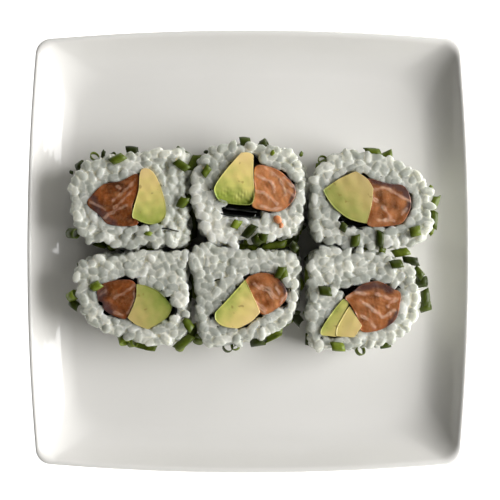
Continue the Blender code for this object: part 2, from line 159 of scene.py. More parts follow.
# Chives. Each kind is its width, its arc in degrees, its wall, the rings along it, its squash, taper,
# curl and skew, in shares of its size. The walls, which the photo doesn't show, get a few more of them.
CHIVE_WIDTH = 4.0
CHIVE_KINDS = {
    "ring": (1.05, 360, 0.08, 3, 0.06, 0.0, 0.0, 0.1),
    "tube": (0.8, 360, 0.1, 4, 0.35, 0.05, 0.0, 0.22),
    "half": (0.95, 200, 0.1, 4, 0.25, 0.12, 0.05, -0.25),
    "fleck": (0.55, 130, 0.16, 3, 0.2, 0.3, 0.1, 0.3),
}
CHIVE_REACH = (1.3, 2.9)
CHIVE_END = 1.2
WALL_CHIVES = 12
WALL_KINDS = ("ring", "tube", "half", "half", "fleck")
WALL_LENGTHS = (2.5, 6.5)

# Studio, in metres, degrees and watts. The room's light comes mostly from the far and near sides.
CAMERA_PLACE = (0.0006, 0.0006, 0.48)
CAMERA_LENS = 82
WINDOW_DISTANCE = 1.2
WINDOW_ELEVATION = 28
WINDOW_SIZE = (1.05, 0.9)
WINDOW_POWER = 25.5
SIDE_LIGHT = 1.65
SIDE_SHARPNESS = 5.0
ROOM_LIGHT = 0.045
LEAN_TO_RIGHT = 0.75

# The slope of a level face, as the way down, where it starts and its steepness
LEVEL = ((1, 0), 0.0, 0.0)

# Each roll, in millimetres from its own centre. "lean" and "shoulder" shift its outline with height.
# Its outlines run round the cut face: "rice", "salmon" and the "avocado" slices. The nori sheet starts
# beside the filling, runs round it once and ends as a tail in the rice. "slump" and "facet" are slopes
# of the rice and of the avocado: the way down, where it starts and how steep it is.
# "painted_rice_shading" is painted light and shade on the rice round a place, as place, radius and
# change: lighter where the rice is lit, darker where a neighbouring roll casts shade on it. "bare"
# spots, as place and radius, have no rice over the nori. "dusky_and_shaded_lines", each with its width,
# darken the fish: its own dark flesh, and painted shade along some edges. "fat" lines are the pale
# seams across it, and "paleness_and_painted_light" lightens all of it, partly the fish's own pale colour
# and partly painted light, with the rolls on the dimmer left painted darker. "tops" are the heights of
# the fillings above the rice. For each avocado slice, "green" points from its ripe yellow side to its
# green one, "greens" says how green the two are and "painted_slice_shading" is painted shade, how dim
# the slice is painted. A chive bit is its place, the turn and lift of its axis in degrees, its kind
# and its length.
ROLLS = (
    {
        "centre": (-46.4, 20.6),
        "paleness_and_painted_light": -0.08,
        "lean": 0.8,
        "shoulder": 1.0,
        "slump": ((1, 0), 14.0, 0.4),
        "painted_rice_shading": ((18, 1, 9, -0.7), (0, -16, 7, -0.2)),
        "rice": ((-24.3, 1.5), (-22, 9.5), (-14.5, 16), (-2, 18), (12, 19.3), (21.5, 18.6), (22.6, 9.5),
                 (22.6, -2.5), (22.8, -11.5), (21.6, -18.4), (12, -19), (-1, -19.3), (-9.5, -17),
                 (-18, -15.5), (-22.5, -9)),
        "nori": ((13, -9.6), (15, -5), (14, 0), (12.6, 6), (9.6, 12), (6.5, 13.6), (2.5, 11.6), (-4.5, 8.6),
                 (-11.5, 7.2), (-16.7, 2.7), (-18.3, -2.5), (-14, -7.5), (-8.5, -11.5), (2, -12),
                 (12, -11.6), (16, -12), (18.8, -12.6)),
        "salmon": ((-17, -2), (-15.2, 1.6), (-10.5, 5.8), (-4, 7), (2.6, 9.8), (3, 3.5), (0.5, -3),
                   (2.6, -9.8), (-8, -10), (-12.5, -6)),
        "avocado": (((4, 10.8), (6.5, 12), (9.3, 9.8), (12.2, 3.5), (13.8, -3.5), (12.8, -8), (8, -9.8),
                     (2.5, -8), (0.8, -6), (3.2, 3.5)),),
        "bare": ((13, 10.6, 2.2), (13.6, 7.4, 1.7)),
        "dusky_and_shaded_lines": ((((-14.5, 0), (-12, -5), (-7, -9)), 1.8),),
        "tops": (0.0, 0.5),
        "green": ((0.1, -1.0),),
        "painted_slice_shading": (0.91,),
        "greens": ((0.0, 0.85),),
        "chives": ((-20.1, 13, 26, 30, 20, "ring", 3.2), (-14.4, 16.1, 27, 60, 60, "ring", 1.6),
                   (-10.9, 16.7, 27, 70, 10, "fleck", 3.0), (-5.1, 15.9, 27.5, 27, 5, "half", 6.2),
                   (0.3, 18.7, 25, -5, 0, "half", 4.8), (20.1, 13.3, 29.5, -35, 5, "tube", 5.5),
                   (25.6, 14.9, 27, 65, 15, "half", 7.0), (20.5, -1.1, 26, 60, 20, "half", 4.5),
                   (21.4, 0.3, 26, 115, 10, "half", 3.2), (23.1, -4.6, 18, 88, 0, "tube", 12),
                   (23.5, -11.1, 16, 88, 0, "half", 9), (-23.3, -13.6, 29, -5, 42, "ring", 4.4),
                   (-8.6, -17.6, 21, 65, 55, "ring", 2.8), (-13, -17.2, 21, -18, 0, "half", 5.0),
                   (7, -13.6, 31.4, -12, 8, "fleck", 3.0), (5.6, -18.9, 21, 3, 0, "half", 6.5),
                   (-24.4, 11.1, 24, 80, 0, "fleck", 1.6)),
        "fat": (((-7.1, -0.8), (-4, 2), (-0.8, 5.1), (1.6, 7.6)), ((-6.6, -3.6), (-2.8, 0), (0.6, 3.4)),
                ((-11, -7.6), (-7.1, -5.1), (-1.6, -2.4)),
                ((-15.8, -1), (-13, -2.4), (-10.2, -4)), ((-5.2, 4.8), (-4.4, 4.2))),
    },
    {
        "centre": (1.8, 21.8),
        "paleness_and_painted_light": 0.75,
        "lean": 0.8,
        "shoulder": 4.0,
        "rice": ((-24.6, 1.8), (-22.4, 11), (-16.5, 18), (-5, 20.8), (6, 19.5), (16.5, 16.8), (21.8, 10),
                 (22.2, 1.5), (21, -7.5), (18, -15), (6.5, -18), (-9, -20), (-18.5, -16.5), (-22.4, -8.5)),
        "nori": ((1.5, -6.2), (-5, -5.4), (-11, -4.6), (-16, -1), (-16.4, 4.5), (-12, 11.6), (-7, 17.0),
                 (-1.4, 17.4), (2.6, 14.6), (8, 12.9), (14.2, 9.4), (18.2, 3), (17, -3.5), (12, -7.5),
                 (4, -8.2), (-5, -7.8), (-13, -7)),
        "salmon": ((0.8, 11.2), (6, 11.6), (12, 8.6), (16.6, 3), (15.2, -2.3), (10.5, -5.8), (4, -5.4),
                   (-0.3, -3.8), (0.8, 1)),
        "avocado": (((-4.6, 16.9, 1), (-1.5, 17), (0.1, 15.8, 1), (-0.1, 9), (0.3, 2), (0.1, -1.6),
                     (-1.6, -3.3), (-8, -3), (-12.6, -2), (-14.6, 0.4), (-14.8, 4), (-10.3, 10.5)),),
        "painted_rice_shading": ((-13, -12, 12, 0.7), (4, -14, 8, 0.45)),
        "bare": ((1.8, 13.2, 2.6), (-12.5, -5.6, 2.6), (-9, -5.9, 3.2), (-5, -6.2, 3.3),
                 (-1, -6.5, 3.1), (2.5, -7, 2.2)),
        "dusky_and_shaded_lines": ((((13.8, 7.5), (16.4, 3), (14.6, -2)), 0.9),),
        "tops": (0.0, 1.5),
        "green": ((-0.45, -0.9),),
        "painted_slice_shading": (1.0,),
        "greens": ((0.0, 0.95),),
        "facet": ((-0.12, -1), -2.6, 0.34),
        "chives": ((-18.4, 9.9, 29, 55, 10, "tube", 4.4), (-3.1, 20.9, 27.5, -4, 5, "half", 4.2),
                   (4.2, 19.3, 27.5, 30, 15, "ring", 2.6), (7.9, 17.1, 28, 40, 45, "fleck", 2.4),
                   (19.1, 17.2, 27, 60, 15, "fleck", 2.2), (-18.7, 17.7, 27, -30, 0, "fleck", 1.6),
                   (-6.6, -10.9, 31.6, 58, 5, "half", 3.6), (-1.4, -13.8, 30.5, 48, 12, "half", 6.2),
                   (1.9, -17.1, 26.5, 35, 35, "ring", 3.4), (-2.8, -18.4, 24, -3, 0, "half", 8.0),
                   (-4.9, -21.5, 18, 2, 0, "half", 10), (5.3, -19.4, 22, 20, 40, "ring", 2.6),
                   (10.9, -17.7, 17, 20, 0, "half", 12), (4, -16.4, 25, 70, 15, "half", 4.0),
                   (-8.6, -20.6, 21, -8, 0, "half", 9), (0.5, -20.6, 24, 3, 0, "half", 9),
                   (8.5, -19.4, 23, 8, 0, "tube", 9), (14.5, -17.6, 21, 20, 0, "half", 8)),
        "fat": (((0.8, 8.6), (3.5, 7), (6.6, 5.8), (8.6, 2.3)),
                ((0.8, 2.7), (4.3, 1.5), (6.6, -0.4), (9.4, -3.2)),
                ((5.1, 10.6), (9, 8.2), (11.7, 4.7), (12.9, 0.8)), ((12.1, 7), (15.3, 4.3)),
                ((13.3, 2.3), (16.8, 0)), ((3.5, -4), (7.4, -5.1), (11, -4.7))),
    },
    {
        "centre": (48.0, 19.4),
        "paleness_and_painted_light": 0.36,
        "lean": 0.8,
        "shoulder": 1.0,
        "rice": ((-22.4, 4), (-20.6, 13.2), (-13.5, 18.5), (-4.5, 19.5), (7.5, 16.8), (18.5, 11.8),
                 (24, 4.5), (24.2, -5), (23, -13.5), (16, -17.4), (3.5, -17.8), (-10, -17), (-21.4, -14),
                 (-23, -5)),
        "nori": ((-10, -7), (-15.5, -3), (-19.3, 2.6), (-18.6, 6.6), (-12, 10.8), (-5.5, 13.5), (0, 11.4),
                 (8, 9), (14.8, 7.4), (17.8, 0), (16, -6.8), (12, -10.4), (2.5, -11.5), (-7, -9.8),
                 (-14, -7.2), (-17.5, -7), (-20, -7.6)),
        "salmon": ((-1, 9.2), (7.5, 7.2), (13.3, 6.2), (16, 0), (14, -6), (10.3, -8.8), (-1, -8.8), (1, 1),
                   (0.5, 6)),
        "avocado": (((-18.5, 4.8, 1), (-12.5, 9), (-5.8, 12.1, 1), (-1.5, 9.2), (1, 5.4, 1), (0.5, 0),
                     (-0.4, -4), (-1.6, -8.2, 1), (-8, -6.6), (-13.6, -2.6), (-16.8, 1.5)),),
        "painted_rice_shading": ((19, -4, 9, -0.25),),
        "bare": ((-12.4, -6.4, 2.3), (-9.4, -8.2, 2.3), (-6.4, -9.4, 2.0)),
        "dusky_and_shaded_lines": ((((1.5, 8.2), (8, 6.9), (14, 4.4)), 1.9), (((13.6, 3.4), (15.2, 0), (14, -3)), 1.2)),
        "tops": (0.0, 0.5),
        "green": ((-0.75, -0.66),),
        "painted_slice_shading": (0.65,),
        "greens": ((0.05, 0.8),),
        "chives": ((-18.3, 16.4, 28, 70, 65, "ring", 1.4), (1, 19.9, 29.5, -4, 4, "half", 6.6),
                   (6.7, 18.7, 28.5, 25, 8, "tube", 4.6), (22.5, 5.5, 30, 70, 20, "fleck", 2.0),
                   (26, 0, 27, 72, 6, "half", 6.2), (26, -6.6, 25, 86, 4, "tube", 6.6),
                   (25.5, -11.3, 22, 60, 0, "fleck", 3.2), (17.7, -11.5, 31.3, 15, 8, "ring", 4.4),
                   (-10.6, -9.8, 31.6, -35, 0, "half", 3.2), (-6, -15.1, 29.5, 85, 10, "half", 4.6),
                   (-4, -19.1, 25, 5, 0, "half", 6.0), (3.8, -14.4, 30.5, 86, 12, "tube", 5.6),
                   (5, -20.1, 26.5, 80, 25, "tube", 5.2), (-1.8, -19.4, 24, -5, 0, "half", 5.0),
                   (12.5, -19.8, 27.5, 12, 6, "half", 6.6)),
        "fat": (((2.2, 5.2), (6.2, 5.4), (12.5, 1.9), (15.6, 0.6)), ((1.6, 1), (6.2, -3.2), (7.9, -6.4)),
                ((3.4, -7), (9, -7.4)), ((12.4, -4.8), (14.2, -2.4))),
    },
    {
        "centre": (-45.3, -18.6),
        "paleness_and_painted_light": -0.12,
        "lean": -0.8,
        "shoulder": 1.0,
        "rice": ((-22.6, 13.2), (-15, 17), (-1, 18.3), (12.5, 18.6), (21, 17.8), (21.6, 9.5), (21.6, -0.5),
                 (21, -10), (17.3, -16.6), (6.5, -18.2), (-6, -14.6), (-16, -11), (-21, -3), (-22.5, 5.5)),
        "nori": ((4, 7), (10, 4), (15.2, -0.5), (16.7, -4), (15.2, -8.5), (6.5, -13.4), (-2, -10.2),
                 (-10.5, -8), (-15.3, -2.3), (-15.3, 3.5), (-11.5, 7.4), (-5, 9), (2, 10), (7.5, 9.7),
                 (12.5, 8), (16.6, 5.2)),
        "salmon": ((-14.1, 3.6), (-11.5, 6), (-5, 7.4), (0, 6.6), (1, 2.5), (-1, -4), (-3, -7.7),
                   (-8, -6.5), (-11.8, -3.9), (-12.2, -1.5), (-13.9, -0.3)),
        "avocado": (((1.4, 5.7, 1), (6, 4.7), (10.5, 2.2), (15, -2.9, 1), (13, -7.4), (5.7, -11.9, 1),
                     (1, -10), (-2.2, -7.5, 1), (-0.3, -3.5), (1.2, 1)),),
        "painted_rice_shading": ((12, 4, 5, -0.35),),
        "bare": ((-6.5, 7.8, 2.1), (-3.2, 8.1, 2.5), (0.5, 8.2, 2.4), (5, 9.6, 1.7), (10, 8.8, 1.6),
                 (14, 7, 1.6)),
        "dusky_and_shaded_lines": ((((-12, 3), (-12.5, -1), (-9, -4.5)), 2.2),),
        "tops": (0.0, 0.4),
        "green": ((0.86, 0.5),),
        "painted_slice_shading": (0.63,),
        "greens": ((0.2, 0.9),),
        "chives": ((-26.2, 0.7, 28, 30, 35, "ring", 3.8), (-26.8, -3.4, 27, -35, 20, "half", 4.6),
                   (-23.2, 2.1, 26, 70, 0, "fleck", 2.4), (-14.7, 5, 31.2, 30, 6, "half", 4.6),
                   (-3.9, -14.9, 27, -70, 30, "ring", 3.8), (-0.7, -16.7, 26, 10, 40, "ring", 3.2),
                   (6.3, -19, 22, -8, 0, "half", 4.4), (3, -18, 22, -15, 0, "half", 5.0),
                   (21.4, -10.3, 30.5, -50, 10, "half", 5.6), (19.8, -17.3, 26.5, 40, 6, "half", 8.0),
                   (18, -19.5, 24.5, 60, 50, "ring", 2.4), (24, -13.9, 22, 80, 0, "half", 6.5),
                   (23.2, 3.6, 20, 88, 0, "tube", 7.5)),
        "fat": (((-7.7, 0.2), (-4, 2.2), (0.2, 5.2)), ((0.4, 3.4), (0.1, -0.6), (-2.4, -6)),
                ((-7.4, -5.2), (-4.4, -6.4)), ((-13, 1.6), (-11, 3.4))),
    },
    {
        "centre": (0.6, -18.2),
        "paleness_and_painted_light": 0.36,
        "lean": -0.8,
        "shoulder": 4.0,
        "rice": ((-23.4, 17.2), (-16.5, 21), (-9, 19.8), (-4, 18.2), (10, 18.6), (19, 18), (21, 9),
                 (19.8, -1), (16, -9.8), (5, -15.6), (-6, -18.2),
                 (-17, -18.6), (-21, -10.5), (-21.4, -1), (-22, 8)),
        "nori": ((-3.5, 7.6), (-8.5, 2), (-13.6, -3.7), (-15.8, -7.5), (-12, -11.8), (-4.5, -13.7),
                 (2.5, -10.8), (6.5, -8.2), (13.2, -4.4), (16.2, 1.5), (13.4, 7.7), (8.5, 11.3),
                 (2.5, 11.6), (-2.5, 10.4), (-9.5, 7.8), (-15.5, 6.2)),
        "salmon": ((-1.6, 7.2), (3, 9.6), (8, 9.2), (12, 6.3), (14.6, 1.5), (12, -3), (5.5, -6.6),
                   (2, -2.5), (-0.5, 3)),
        "avocado": (((-1.9, 6.9, 1), (1.3, 0.2), (3.9, -5.6, 1), (0.5, -9.2), (-4.9, -12, 1), (-10.6, -11),
                     (-13.5, -8.6), (-13.5, -5.8, 1), (-7, 1.2)),),
        "painted_rice_shading": ((-11, 4, 6, -0.4),),
        "bare": ((-15.6, -7.8, 2.2), (3.8, -7.6, 1.6), (-6, 9.2, 1.8), (-10.5, 7.5, 1.8)),
        "dusky_and_shaded_lines": ((((12.5, 6), (14.3, 1.5)), 1.0),),
        "tops": (0.0, 0.6),
        "green": ((-0.8, 0.6),),
        "painted_slice_shading": (0.95,),
        "greens": ((0.0, 0.8),),
        "chives": ((-20.5, -16.9, 24, 70, 35, "ring", 3.0), (12, 10.2, 30.8, 70, 12, "half", 4.8),
                   (13.2, 9.2, 30.8, -75, 12, "half", 3.4), (-9, -18.8, 25.5, 50, 65, "ring", 2.2),
                   (-5.8, -18.9, 25, 120, 65, "ring", 1.8), (3.1, -16.6, 27.5, 10, 15, "ring", 5.6),
                   (8.4, -14.3, 27.5, 25, 6, "half", 8.0), (20.1, -9.7, 20, -50, 20, "half", 4.6),
                   (18.7, -6.2, 22, -10, 0, "fleck", 3.2), (16.9, 20.2, 30, 50, 15, "ring", 3.0)),
        "fat": (((4.4, 4.8), (7.6, 3.4), (10.4, -0.2)), ((5.6, 3.2), (8, 1.6), (9.4, -0.8)),
                ((-0.4, -0.8), (2.4, -3.2), (5.5, -5.5)), ((0.2, 0.2), (3.2, -2.3), (6.4, -4.9)),
                ((10.2, 4), (11.4, 1.6)), ((12.2, -2), (14.5, 1.6)), ((2, 5.6), (3.4, 3.6))),
    },
    {
        "centre": (46.1, -19.8),
        "paleness_and_painted_light": 0.38,
        "lean": -0.8,
        "shoulder": 1.0,
        "rice": ((-21.8, 16.5), (-16.5, 21.2), (-6.5, 21.2), (5.5, 19.4), (16.5, 15.2), (21, 6.5),
                 (22.4, -1), (20.6, -8), (12.8, -14), (1.5, -18), (-10, -18.6), (-20.6, -17.6), (-22.2, -7),
                 (-22.2, 2.5)),
        "nori": ((-10, 2.6), (-13.5, -2.5), (-17.6, -7.5), (-19, -11.6), (-15.5, -15), (-5, -15.4),
                 (-0.5, -13.2), (8.3, -11.6), (13.3, -6), (15.5, 1.5), (12, 6.9), (5, 9.6), (-3, 8),
                 (-12, 5.8), (-17.5, 6.6)),
        "salmon": ((-8, 1.6), (-5, 3.9), (-2, 6.4), (1.5, 7.7), (5.5, 7.9), (10.6, 5.2), (13.6, 3.5),
                   (13.6, 0), (11.7, -7), (5.5, -11), (-1.4, -11.6), (-3, -6.5), (-6.3, -0.5)),
        "avocado": (((-8.8, 1, 1), (-7, -0.8), (-8.6, -5), (-11.3, -9.5), (-11.7, -13.6, 1),
                     (-17.3, -13, 1), (-17.4, -11), (-13.4, -4.6)),
                    ((-6.5, -1.9, 1), (-1.6, -9.4, 1), (-4.6, -13.8, 1), (-11.4, -13.4, 1), (-11, -9.6))),
        "painted_rice_shading": ((18, -3, 8, 0.15),),
        "bare": ((-9.4, 4.2, 2.2), (-6, 6, 2.2), (-3, 7.4, 1.8)),
        "dusky_and_shaded_lines": ((((-3, 4.8), (1, 6), (5.5, 6), (9.6, 4.6)), 2.0), (((12, -4.5), (9, -9)), 1.1)),
        "tops": (0.0, 0.5, 0.9),
        "green": ((-0.8, 0.6), (-1.0, 0.3)),
        "painted_slice_shading": (0.87, 0.82),
        "greens": ((0.35, 0.75), (0.05, 0.4)),
        "chives": ((18, 16.2, 30.3, -6, 6, "half", 6.4), (12, 14.8, 30.8, 8, 4, "half", 4.6),
                   (22, 11.4, 28.5, -50, 8, "half", 5.2), (24.1, 8.1, 27.5, 10, 25, "ring", 4.0),
                   (24.4, 1.6, 26, -84, 5, "half", 6.2), (25.4, -2.1, 24, 20, 20, "ring", 4.2),
                   (-15.9, 4.2, 31.2, -6, 8, "half", 4.8), (-11, -17.7, 23, -3, 0, "half", 5.2),
                   (-1.5, -17.7, 23, 35, 55, "ring", 1.8), (8, -16.7, 23, 10, 0, "half", 4.6)),
        "fat": (((-2, 0.6), (1.7, -1.9), (6.8, -5.7), (11.2, -3.4)), ((-1.4, -5.7), (3.9, -10.1)),
                ((-7, 2.4), (-2.7, 3.4), (5.5, 2.4), (12.6, 1)), ((11.7, 0.8), (8.6, -1.6))),
    },
)


# Curves

def smooth_curve(points, step, closed):
    """A curve through the points, sampled about every step; loops run anticlockwise.

    It runs smoothly through each point, but turns sharply at one that has a third value.
    """
    corners = np.array([p[:2] for p in points], float)
    if closed:
        ways = (np.roll(corners, -1, axis=0) - np.roll(corners, 1, axis=0)) / 2
    else:
        ways = np.gradient(corners, axis=0)
    ways[[len(p) > 2 for p in points]] = 0
    t = np.linspace(0.0, 1.0, 12, endpoint=False)[:, None]
    a, b, way, next_way = (v[:, None] for v in (corners, np.roll(corners, -1, axis=0), ways,
                                                np.roll(ways, -1, axis=0)))
    fine = (a * (2 * t**3 - 3 * t**2 + 1) + b * (3 * t**2 - 2 * t**3) + way * (t**3 - 2 * t**2 + t)
            + next_way * (t**3 - t**2))
    fine = (fine if closed else fine[:-1]).reshape(-1, 2)
    fine = np.vstack([fine, corners[:1] if closed else corners[-1:]])
    along = np.concatenate([[0.0], np.cumsum(np.linalg.norm(np.diff(fine, axis=0), axis=1))])
    stations = np.linspace(0.0, along[-1], max(3, round(along[-1] / step)) + 1)
    if closed:
        stations = stations[:-1]
    curve = np.column_stack([np.interp(stations, along, fine[:, k]) for k in range(2)])
    return anticlockwise(curve) if closed else curve


def anticlockwise(loop):
    x, y = loop[:, 0], loop[:, 1]
    return loop if np.sum(x * np.roll(y, -1) - np.roll(x, -1) * y) > 0 else loop[::-1]


def side_normals(curve, closed):
    """Unit normals to the right of travel, which point out of a loop that runs anticlockwise."""
    if closed:
        travel = np.roll(curve, -1, axis=0) - np.roll(curve, 1, axis=0)
    else:
        travel = np.gradient(curve, axis=0)
    travel = travel / np.linalg.norm(travel, axis=1)[:, None]
    return np.column_stack([travel[:, 1], -travel[:, 0]])


def grown(loop, distance):
    return loop + side_normals(loop, True) * distance


def nearest_on(points, path, closed):
    """The nearest place on a path to each point, how far off it is, and the way the path runs there."""
    starts = path if closed else path[:-1]
    ends = np.roll(path, -1, axis=0) if closed else path[1:]
    run = ends - starts
    share = np.einsum("psk,sk->ps", points[:, None] - starts, run) / np.sum(run**2, axis=1)
    places = starts + np.clip(share, 0, 1)[..., None] * run
    apart = np.linalg.norm(points[:, None] - places, axis=2)
    best = np.argmin(apart, axis=1)
    rows = np.arange(len(points))
    return places[rows, best], apart[rows, best], run[best] / np.linalg.norm(run[best], axis=1)[:, None]


def depth_in(points, loop):
    """How far each point is inside a loop, or outside where it is negative."""
    x, y = points[:, 0:1], points[:, 1:2]
    x0, y0 = loop[:, 0], loop[:, 1]
    x1, y1 = np.roll(x0, -1), np.roll(y0, -1)
    with np.errstate(divide="ignore", invalid="ignore"):
        crossed = ((y0 > y) != (y1 > y)) & (x < (x1 - x0) * (y - y0) / (y1 - y0) + x0)
    inside = np.sum(crossed, axis=1) % 2 == 1
    return np.where(inside, 1, -1) * nearest_on(points, loop, True)[1]


def kept_inside(points, loop, room):
    """Moves points that are too near a loop, or outside it, to this far inside it."""
    places, _, travel = nearest_on(points, loop, True)
    inward = np.column_stack([-travel[:, 1], travel[:, 0]])
    return np.where((depth_in(points, loop) < room)[:, None], places + inward * room, points)


def ripples(points, wavelength, seed, waves=9):
    """A smooth uneven surface from about -1 to 1: a few sine waves in seeded directions."""
    rng = np.random.default_rng(seed)
    total = np.zeros(len(points))
    for _ in range(waves):
        way = rng.normal(size=points.shape[1])
        way /= np.linalg.norm(way)
        length = wavelength * rng.uniform(0.7, 1.5)
        total += np.sin(points @ way * (2 * math.pi / length) + rng.uniform(0, 2 * math.pi))
    return total / math.sqrt(waves)


# Meshes

def add_mesh(name, points, faces, material, values=None):
    """A smooth-shaded closed mesh from points in millimetres, with named values for its points."""
    mesh = bpy.data.meshes.new(name)
    mesh.from_pydata((np.asarray(points) * MM).tolist(), [], faces)
    shape = bmesh.new()
    shape.from_mesh(mesh)
    bmesh.ops.recalc_face_normals(shape, faces=shape.faces)
    shape.to_mesh(mesh)
    shape.free()
    mesh.shade_smooth()
    for label, amounts in (values or {}).items():
        set_values(mesh, label, amounts)
    if material:
        mesh.materials.append(material)
    item = bpy.data.objects.new(name, mesh)
    bpy.context.scene.collection.objects.link(item)
    return item


def ring_faces(rings, count, first=0):
    """Faces between closed rings of points, one after another."""
    faces = []
    for ring in range(rings - 1):
        low = first + ring * count
        faces += [(low + i, low + (i + 1) % count, low + count + (i + 1) % count, low + count + i)
                  for i in range(count)]
    return faces


def stand_for(item, node):
    """Makes a finished piece ride on the plate and take the place of its solid."""
    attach(item, "root")
    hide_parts(node)


def points_of(item):
    flat = np.empty(len(item.data.vertices) * 3)
    item.data.vertices.foreach_get("co", flat)
    return flat.reshape(-1, 3) / MM


def set_points(item, points):
    item.data.vertices.foreach_set("co", (points * MM).ravel())
    item.data.update()


def set_values(mesh, label, amounts):
    mesh.attributes.new(label, "FLOAT", "POINT").data.foreach_set("value", amounts)


# Nodes and colours

def linear(hex_colour):
    parts = [int(hex_colour[i:i + 2], 16) / 255 for i in (1, 3, 5)]
    return tuple(c / 12.92 if c <= 0.04045 else ((c + 0.055) / 1.055) ** 2.4 for c in parts) + (1.0,)


def feed(tree, node, inputs):
    """Gives a node its inputs: values, hex colours, outputs, or nodes that give their first output."""
    for label, value in inputs.items():
        if isinstance(value, bpy.types.Node):
            value = value.outputs[0]
        if isinstance(value, bpy.types.NodeSocket):
            tree.links.new(value, node.inputs[label])
        elif isinstance(value, str) and value.startswith("#"):
            node.inputs[label].default_value = linear(value)
        else:
            node.inputs[label].default_value = value


def add(tree, kind, inputs=None, **settings):
    """Adds a node with its settings and its inputs."""
    made = tree.nodes.new(kind)
    for name, value in settings.items():
        setattr(made, name, value)
    feed(tree, made, inputs or {})
    return made


def with_stops(ramp, stops):
    """Sets the colours along a ramp, as (place, hex colour)."""
    elements = ramp.color_ramp.elements
    while len(elements) < len(stops):
        elements.new(0.5)
    for element, (position, colour) in zip(elements, stops):
        element.position = position
        element.color = linear(colour)
    return ramp


def lumps(size_mm):
    """The scale of a noise whose lumps are about this many millimetres across."""
    return 1000 / size_mm / 2


def new_finish(name, values):
    """A material with a surface whose plain values are set, its node tree and its object coordinates."""
    material = bpy.data.materials.new(name)
    material.use_nodes = True
    tree = material.node_tree
    surface = tree.nodes["Principled BSDF"]
    feed(tree, surface, values)
    return material, tree, surface, add(tree, "ShaderNodeTexCoord").outputs["Object"]


def porcelain_finish():
    """Fired white porcelain under a clear glaze: mirror-like, very slightly wavy, a warm grey white."""
    material, tree, surface, place = new_finish("glazed white porcelain", {"IOR": 1.42})
    cloud = add(tree, "ShaderNodeTexNoise", {"Vector": place, "Scale": lumps(28), "Detail": 3.0})
    colour = add(tree, "ShaderNodeMix", {0: cloud, 6: "#eeece7", 7: "#f3f1ed"}, data_type="RGBA").outputs[2]
    haze = add(tree, "ShaderNodeTexNoise", {"Vector": place, "Scale": lumps(9)})
    dull = add(tree, "ShaderNodeMapRange", {"Value": haze, "From Min": 0.3, "From Max": 0.7,
                                            "To Min": 0.03, "To Max": 0.06})
    waves = add(tree, "ShaderNodeTexNoise", {"Vector": place, "Scale": lumps(7), "Detail": 1.0})
    bump = add(tree, "ShaderNodeBump", {"Height": waves, "Distance": 0.02 * MM})
    feed(tree, surface, {"Base Color": colour, "Roughness": dull, "Normal": bump})
    return material


def rice_finish():
    """Cooked short-grain rice: pearly, moist and a little clear, each grain its own shade of white."""
    material, tree, surface, place = new_finish("cooked sushi rice", {
        "Subsurface Weight": 1.0, "Subsurface Radius": (1.0, 0.96, 0.86), "Subsurface Scale": 0.0042,
        "IOR": 1.38, "Coat Weight": 0.2, "Coat Roughness": 0.18, "Roughness": 0.42})
    # Besides each grain's own whiteness, the tone carries painted light in the seams, painted shade on the
    # crests and in the deeper rice, and painted light and shade round some places
    tone = add(tree, "ShaderNodeAttribute", attribute_name="tone").outputs["Fac"]
    shade = with_stops(add(tree, "ShaderNodeValToRGB", {"Fac": tone}),
                       ((0.0, "#a8aba1"), (0.5, "#cacbc0"), (1.0, "#edece2")))
    milk = add(tree, "ShaderNodeTexNoise", {"Vector": place, "Scale": lumps(1.6)})
    belly = add(tree, "ShaderNodeMapRange", {"Value": milk, "From Min": 0.5, "From Max": 0.75,
                                             "To Max": 0.35})
    colour = add(tree, "ShaderNodeMix", {0: belly, 6: shade, 7: "#f6f4ea"}, data_type="RGBA").outputs[2]
    grit = add(tree, "ShaderNodeTexNoise", {"Vector": place, "Scale": lumps(0.9), "Detail": 3.0})
    bump = add(tree, "ShaderNodeBump", {"Height": grit, "Distance": 0.2 * MM, "Strength": 0.9})
    feed(tree, surface, {"Base Color": colour, "Normal": bump})
    return material


def nori_finish():
    """Pressed dried seaweed gone damp: nearly black green, crinkled, with a dull sheen."""
    material, tree, surface, place = new_finish("damp pressed nori", {
        "IOR": 1.4, "Roughness": 0.55, "Coat Weight": 0.05, "Coat Roughness": 0.3})
    fibres = add(tree, "ShaderNodeTexNoise", {"Vector": place, "Scale": lumps(0.8), "Detail": 4.0,
                                              "Roughness": 0.7})
    flecks = add(tree, "ShaderNodeMapRange", {"Value": fibres, "From Min": 0.4, "From Max": 0.7})
    mixed = add(tree, "ShaderNodeMix", {0: flecks, 6: "#060907", 7: "#1b241a"}, data_type="RGBA")
    crinkle = add(tree, "ShaderNodeTexNoise", {"Vector": place, "Scale": lumps(1.1), "Detail": 4.0,
                                               "Roughness": 0.65})
    bump = add(tree, "ShaderNodeBump", {"Height": crinkle, "Distance": 0.2 * MM})
    feed(tree, surface, {"Base Color": mixed.outputs[2], "Normal": bump})
    return material


